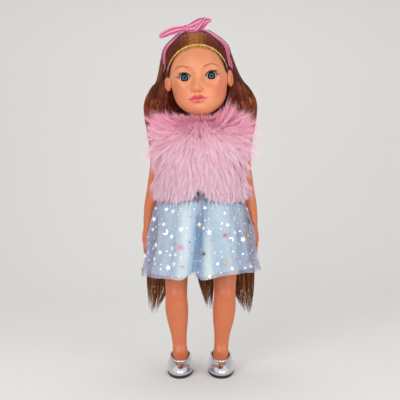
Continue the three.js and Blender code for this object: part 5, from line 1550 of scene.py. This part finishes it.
def arm_parts(skin):
    """The arm with its rounded shoulder, the palm, four fingers and the thumb."""
    heights = np.linspace(-108, 0, 60)[:, None]
    x, y, wide, deep = through(ARM_ROWS, heights)
    elbow = 0.5 * bump(heights, -52, 5)
    shape = (wide, deep - elbow, deep + 0.6 * elbow)
    lower = oval_at(full_turn(48), SHOULDER[2] + heights, shape, centre=(x, y))
    lifts = np.radians(np.linspace(8, 86, 14))[:, None]
    reach = 12.6 * np.cos(lifts)
    top = oval_at(full_turn(48), SHOULDER[2] + 12.6 * np.sin(lifts), (reach, reach, reach),
                  centre=SHOULDER[:2])
    heights = np.linspace(-135, -104, 26)[:, None]
    x, y, wide, deep = through(HAND_ROWS, heights)
    palm = oval_at(full_turn(40), SHOULDER[2] + heights, (wide, deep, deep), centre=(x, y))
    parts = [skin_piece("arm", np.concatenate([lower, top]), skin), skin_piece("palm", palm, skin)]
    for i in range(4):
        side = 9 - 4.6 + i * 4.9
        length = 19 - abs(i - 1.2) * 2.6
        parts.append(finger((75, side, 178), (76.5, side - 1.5, 178 - length), 2.45, skin))
    parts.append(finger((72.5, 2.5, 191), (73, -4, 173), 2.7, skin))
    return parts


def make_arms(skin):
    arm = join_parts("vinyl_arm_left", arm_parts(skin))
    modify(arm, "REMESH", mode="VOXEL", voxel_size=FUSE_SIZE * MM)
    modify(arm, "SMOOTH", factor=0.6, iterations=9)
    # It ends flat where it meets the torso.
    bpy.ops.mesh.primitive_cube_add(size=0.1, location=(0.0409 - 0.05, 0.002, 0.308))
    with_tool(arm, bpy.context.object)
    arm.data.shade_smooth()
    arm.data.materials.clear()
    arm.data.materials.append(skin)
    paint_limb(arm)
    other = arm.copy()
    other.data = arm.data.copy()
    other.name = "vinyl_arm_right"
    bpy.context.collection.objects.link(other)
    other.data.vertices.foreach_set("co", (points_of(other) * flipped(-1.0) * MM).ravel())
    other.data.flip_normals()
    for side, piece in (("left", arm), ("right", other)):
        dress(piece, f"{side}_arm", f"{side}_arm")


def paint_limb(limb):
    """The flesh spray of the limbs, a little redder at the finger tips and knees."""
    x, y, z = points_of(limb).T
    tips = 0.35 * smooth(176, 158, z) * (np.abs(x) > 60)
    knees = 0.25 * bump(z, 106, 12) * (y < 0) * (np.abs(x) < 55)
    paint(limb, sprayed("#cb7149", [("#d9673f", tips + knees)]))
    store(limb, gloss=0.12)


def make_legs(skin):
    heights = np.concatenate([np.linspace(5.3, 30, 40), np.linspace(31, 204, 110)])[:, None]
    x, front, back, wide = through(LEG_ROWS, heights)
    turn = full_turn(72)
    lower = oval_at(turn, heights, (wide, front, back), centre=(x, 0.0))
    # The knee: a soft cap under a crease, with a dimple at each side.
    cap = 1.0 * bump(heights, 103, 6) - 0.9 * bump(heights, 111.5, 2.4) - 0.5 * bump(heights, 94, 3)
    dimples = -0.7 * bump(heights, 100, 4) * bump(np.abs(np.cos(turn)), 0.55, 0.18)
    lower[..., 1] -= (cap + dimples) * smooth(0.1, -0.9, np.sin(turn))
    lifts = np.radians(np.linspace(6, 86, 16))[:, None]
    shape = (20.2 * np.cos(lifts), 24 * np.cos(lifts), 24 * np.cos(lifts))
    top = oval_at(turn, 204 + 22 * np.sin(lifts), shape, centre=(33.0, 1.2))
    for side, sign in SIDES:
        leg = skin_piece(f"vinyl_leg_{side}", np.concatenate([lower, top]) * flipped(sign), skin)
        paint_limb(leg)
        dress(leg, f"{side}_leg", f"{side}_leg")


# Foiled synthetic leather: bright silver over a soft grain, which reflects broadly.
def silver_leather():
    material, tree, shader = start_material("foiled_leather", "#d6d6da", Roughness=0.28, Metallic=0.94)
    place = object_place(tree)
    grain = add(tree, "TexVoronoi", {"Vector": place, "Scale": 1100.0}, feature="SMOOTH_F1")
    connect(tree, shader, remap(tree, noise(tree, place, 160.0, 3.0), 0.35, 0.7, 0.16, 0.24), "Roughness")
    relief(tree, shader, grain.outputs["Distance"], 0.015, 0.0002)
    return material


# Moulded thermoplastic rubber: matt black, with a fine texture.
def moulded_rubber():
    material, tree, shader = start_material("moulded_rubber", "#19191b", Roughness=0.68)
    grain = noise(tree, object_place(tree), 1800.0)
    connect(tree, shader, colour_ramp(tree, grain, [(0.3, "#131315"), (0.7, "#232326")]))
    relief(tree, shader, grain, 0.2, 0.0003)
    return material


# The middle of the shoe across, and the half width and depths of its sole.
SHOE_X = 27
SOLE_SHAPE = (17, 46, 22)
# Rows up the sole: height and how far it stands out.
SOLE_ROWS = [(0.0, -0.9), (0.35, -0.25), (0.9, 0.0), (2.7, 0.0), (3.2, -0.2), (3.5, -0.8)]
# Rows up the shoe's upper: half width and height at its side, then reach and height at its toe and heel.
UPPER_ROWS = [[0, 17.1, 3.7, 46.2, 3.7, 22.1, 3.7], [1, 17.6, 7.5, 47.0, 7.5, 22.8, 8.0],
              [2, 17.0, 12.0, 45.0, 11.5, 22.6, 13.0], [3, 15.7, 16.5, 40.5, 14.8, 21.8, 18.0],
              [4, 14.3, 20.3, 34.5, 17.2, 20.8, 22.0], [5, 13.2, 22.6, 28.5, 18.9, 19.8, 24.6]]


def upper_rings(turn):
    """The rings of the left shoe's upper, from the sole to its mouth."""
    wide, side_rise, front, front_rise, back, back_rise = through(UPPER_ROWS, np.linspace(0, 5, 26)[:, None])
    ahead = smooth(0.15, 0.95, -np.sin(turn))
    behind = smooth(0.1, 0.9, np.sin(turn))
    level = side_rise + (front_rise - side_rise) * ahead + (back_rise - side_rise) * behind
    return oval_at(turn, level, (wide, front, back), centre=(SHOE_X, 0.0))


def piping_rings(turn, mouth):
    """A ribbed cord laid round the mouth of the shoe."""
    section = full_turn(12)
    radius = (1.05 + 0.07 * np.cos(60 * turn))[:, None]
    out = radius * np.cos(section)
    around = turn[:, None]
    return mouth[:, None] + vectors(out * np.cos(around), out * np.sin(around), radius * np.sin(section))


def make_shoes(leather, rubber):
    turn = full_turn(120)
    rings = upper_rings(turn)
    faces = grid_faces(*rings.shape[:2])
    height, grow = np.array(SOLE_ROWS).T[:, :, None]
    sole_rings = oval_at(turn, height, SOLE_SHAPE, grow, (SHOE_X, 0.0))
    for side, sign in SIDES:
        mirror = flipped(sign)
        upper = mesh_piece(f"shoe_upper_{side}", (rings * mirror).reshape(-1, 3), faces, leather)
        if sign < 0:
            # Mirrored faces look inwards.
            upper.data.flip_normals()
        modify(upper, "SOLIDIFY", thickness=0.9 * MM)
        rim = hoop_piece(f"shoe_piping_{side}", piping_rings(turn, rings[-1]) * mirror, leather)
        sole = skin_piece(f"shoe_sole_{side}", sole_rings * mirror, rubber)
        dress(upper, f"{side}_leg", f"{side}_shoe_upper")
        dress(rim, f"{side}_leg", f"{side}_shoe_rim")
        dress(sole, f"{side}_leg", f"{side}_shoe_sole")


# Hidden mouldings in flesh-coloured vinyl, and woven lining.
def moulded_vinyl():
    material, tree, shader = start_material("moulded_vinyl", "#df9268", Roughness=0.45)
    cloud = noise(tree, object_place(tree), 60.0)
    connect(tree, shader, colour_ramp(tree, cloud, [(0.3, "#da8c62"), (0.7, "#e49a70")]))
    return material


def woven_lining():
    material, tree, shader = start_material("woven_lining", "#e6d7cb", Roughness=0.85)
    weave = add(tree, "TexChecker", {"Vector": object_place(tree), "Scale": 1600.0,
                                     "Color1": hex_colour("#e9dacf"), "Color2": hex_colour("#d8c7ba")})
    connect(tree, shader, weave.outputs["Color"])
    return material


# Moulded plastics and metals that hardly show.
def moulded_plastic():
    material, tree, shader = start_material("moulded_styrene", "#d8d2c6", Roughness=0.45)
    relief(tree, shader, noise(tree, object_place(tree), 900.0), 0.05, 0.0002)
    return material


def drawn_steel():
    material, tree, shader = start_material("drawn_steel", "#9b9da1", Roughness=0.35, Metallic=1.0)
    lines = noise(tree, object_place(tree), 700.0, 4.0)
    connect(tree, shader, remap(tree, lines, 0.0, 1.0, 0.25, 0.45), "Roughness")
    return material


def lash_fibre():
    material, tree, shader = start_material("dyed_nylon_lash", "#21140f", Roughness=0.5)
    connect(tree, shader, colour_ramp(tree, stored(tree, "run"), [(0.0, "#1a100c"), (1.0, "#4a3024")]))
    return material


def finish_node(name, material):
    """Gives a CAD node its finish."""
    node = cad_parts[name]
    node.data.materials.clear()
    node.data.materials.append(material)


place_camera()
paper_sweep()
light_room()
skin = vinyl_skin()
styrene = moulded_plastic()
steel = drawn_steel()
make_head(skin)
lash = lash_fibre()
for side, sign in SIDES:
    make_eyeball(side, sign)
    make_lid(side, sign, skin)
    make_lashes(side, sign, lash)
brown_shades = [(0.0, "#260c06"), (0.35, "#561e0d"), (0.65, "#843f1e"), (1.0, "#b67c40")]
brown = saran_hair("brown_saran_hair", brown_shades, (900.0, 900.0, 40.0))
gold_shades = [(0.0, "#8a5626"), (0.4, "#c48c48"), (0.7, "#dfb06a"), (1.0, "#f4d79c")]
gold = saran_hair("golden_saran_hair", gold_shades, (700.0, 700.0, 700.0), 0.28)
pink_satin = folded_satin("pink_satin", "#a63863", "#cf5c8a", "#f4b4cb")
make_hair_cap(brown, gold)
make_braid(gold)
make_headband(pink_satin)
make_bow(pink_satin)
for name, rows, sign in LOCKS:
    make_lock(name, rows, sign, brown)
make_back_hair(brown)
make_side_hair(brown)
make_lock_tops(brown)

fur = acrylic_pile()
backing = knitted_backing()
make_gilet(fur, backing)
make_collar(fur, backing)
blue_satin = folded_satin("blue_satin", "#83a5c0", "#a9c4d8", "#d4e4ec", 0.38)
make_bodice(blue_satin)
make_skirt_layer("satin_skirt", "satin_skirt", blue_satin, SATIN_DROP, 0.0, SATIN_PULL, 0.5)
make_skirt_layer("net_skirt", "net_overskirt", nylon_tulle(), NET_DROP, 2.3, 0.0, 0.35)
make_foil(stamped_foil())
make_arms(skin)
make_legs(skin)
make_shoes(silver_leather(), moulded_rubber())
vinyl = moulded_vinyl()
lining = woven_lining()
for name in ("torso_shell", "neck_plug"):
    finish_node(name, vinyl)
for side, _ in SIDES:
    finish_node(f"{side}_eye_socket", styrene)
    finish_node(f"{side}_eye_pin", steel)
    finish_node(f"{side}_eye_weight", steel)
    finish_node(f"{side}_shoulder_plug", styrene)
    finish_node(f"{side}_hip_plug", styrene)
    finish_node(f"{side}_shoe_insole", lining)
finish_node("gilet_hook", steel)
finish_node("gilet_bar", steel)
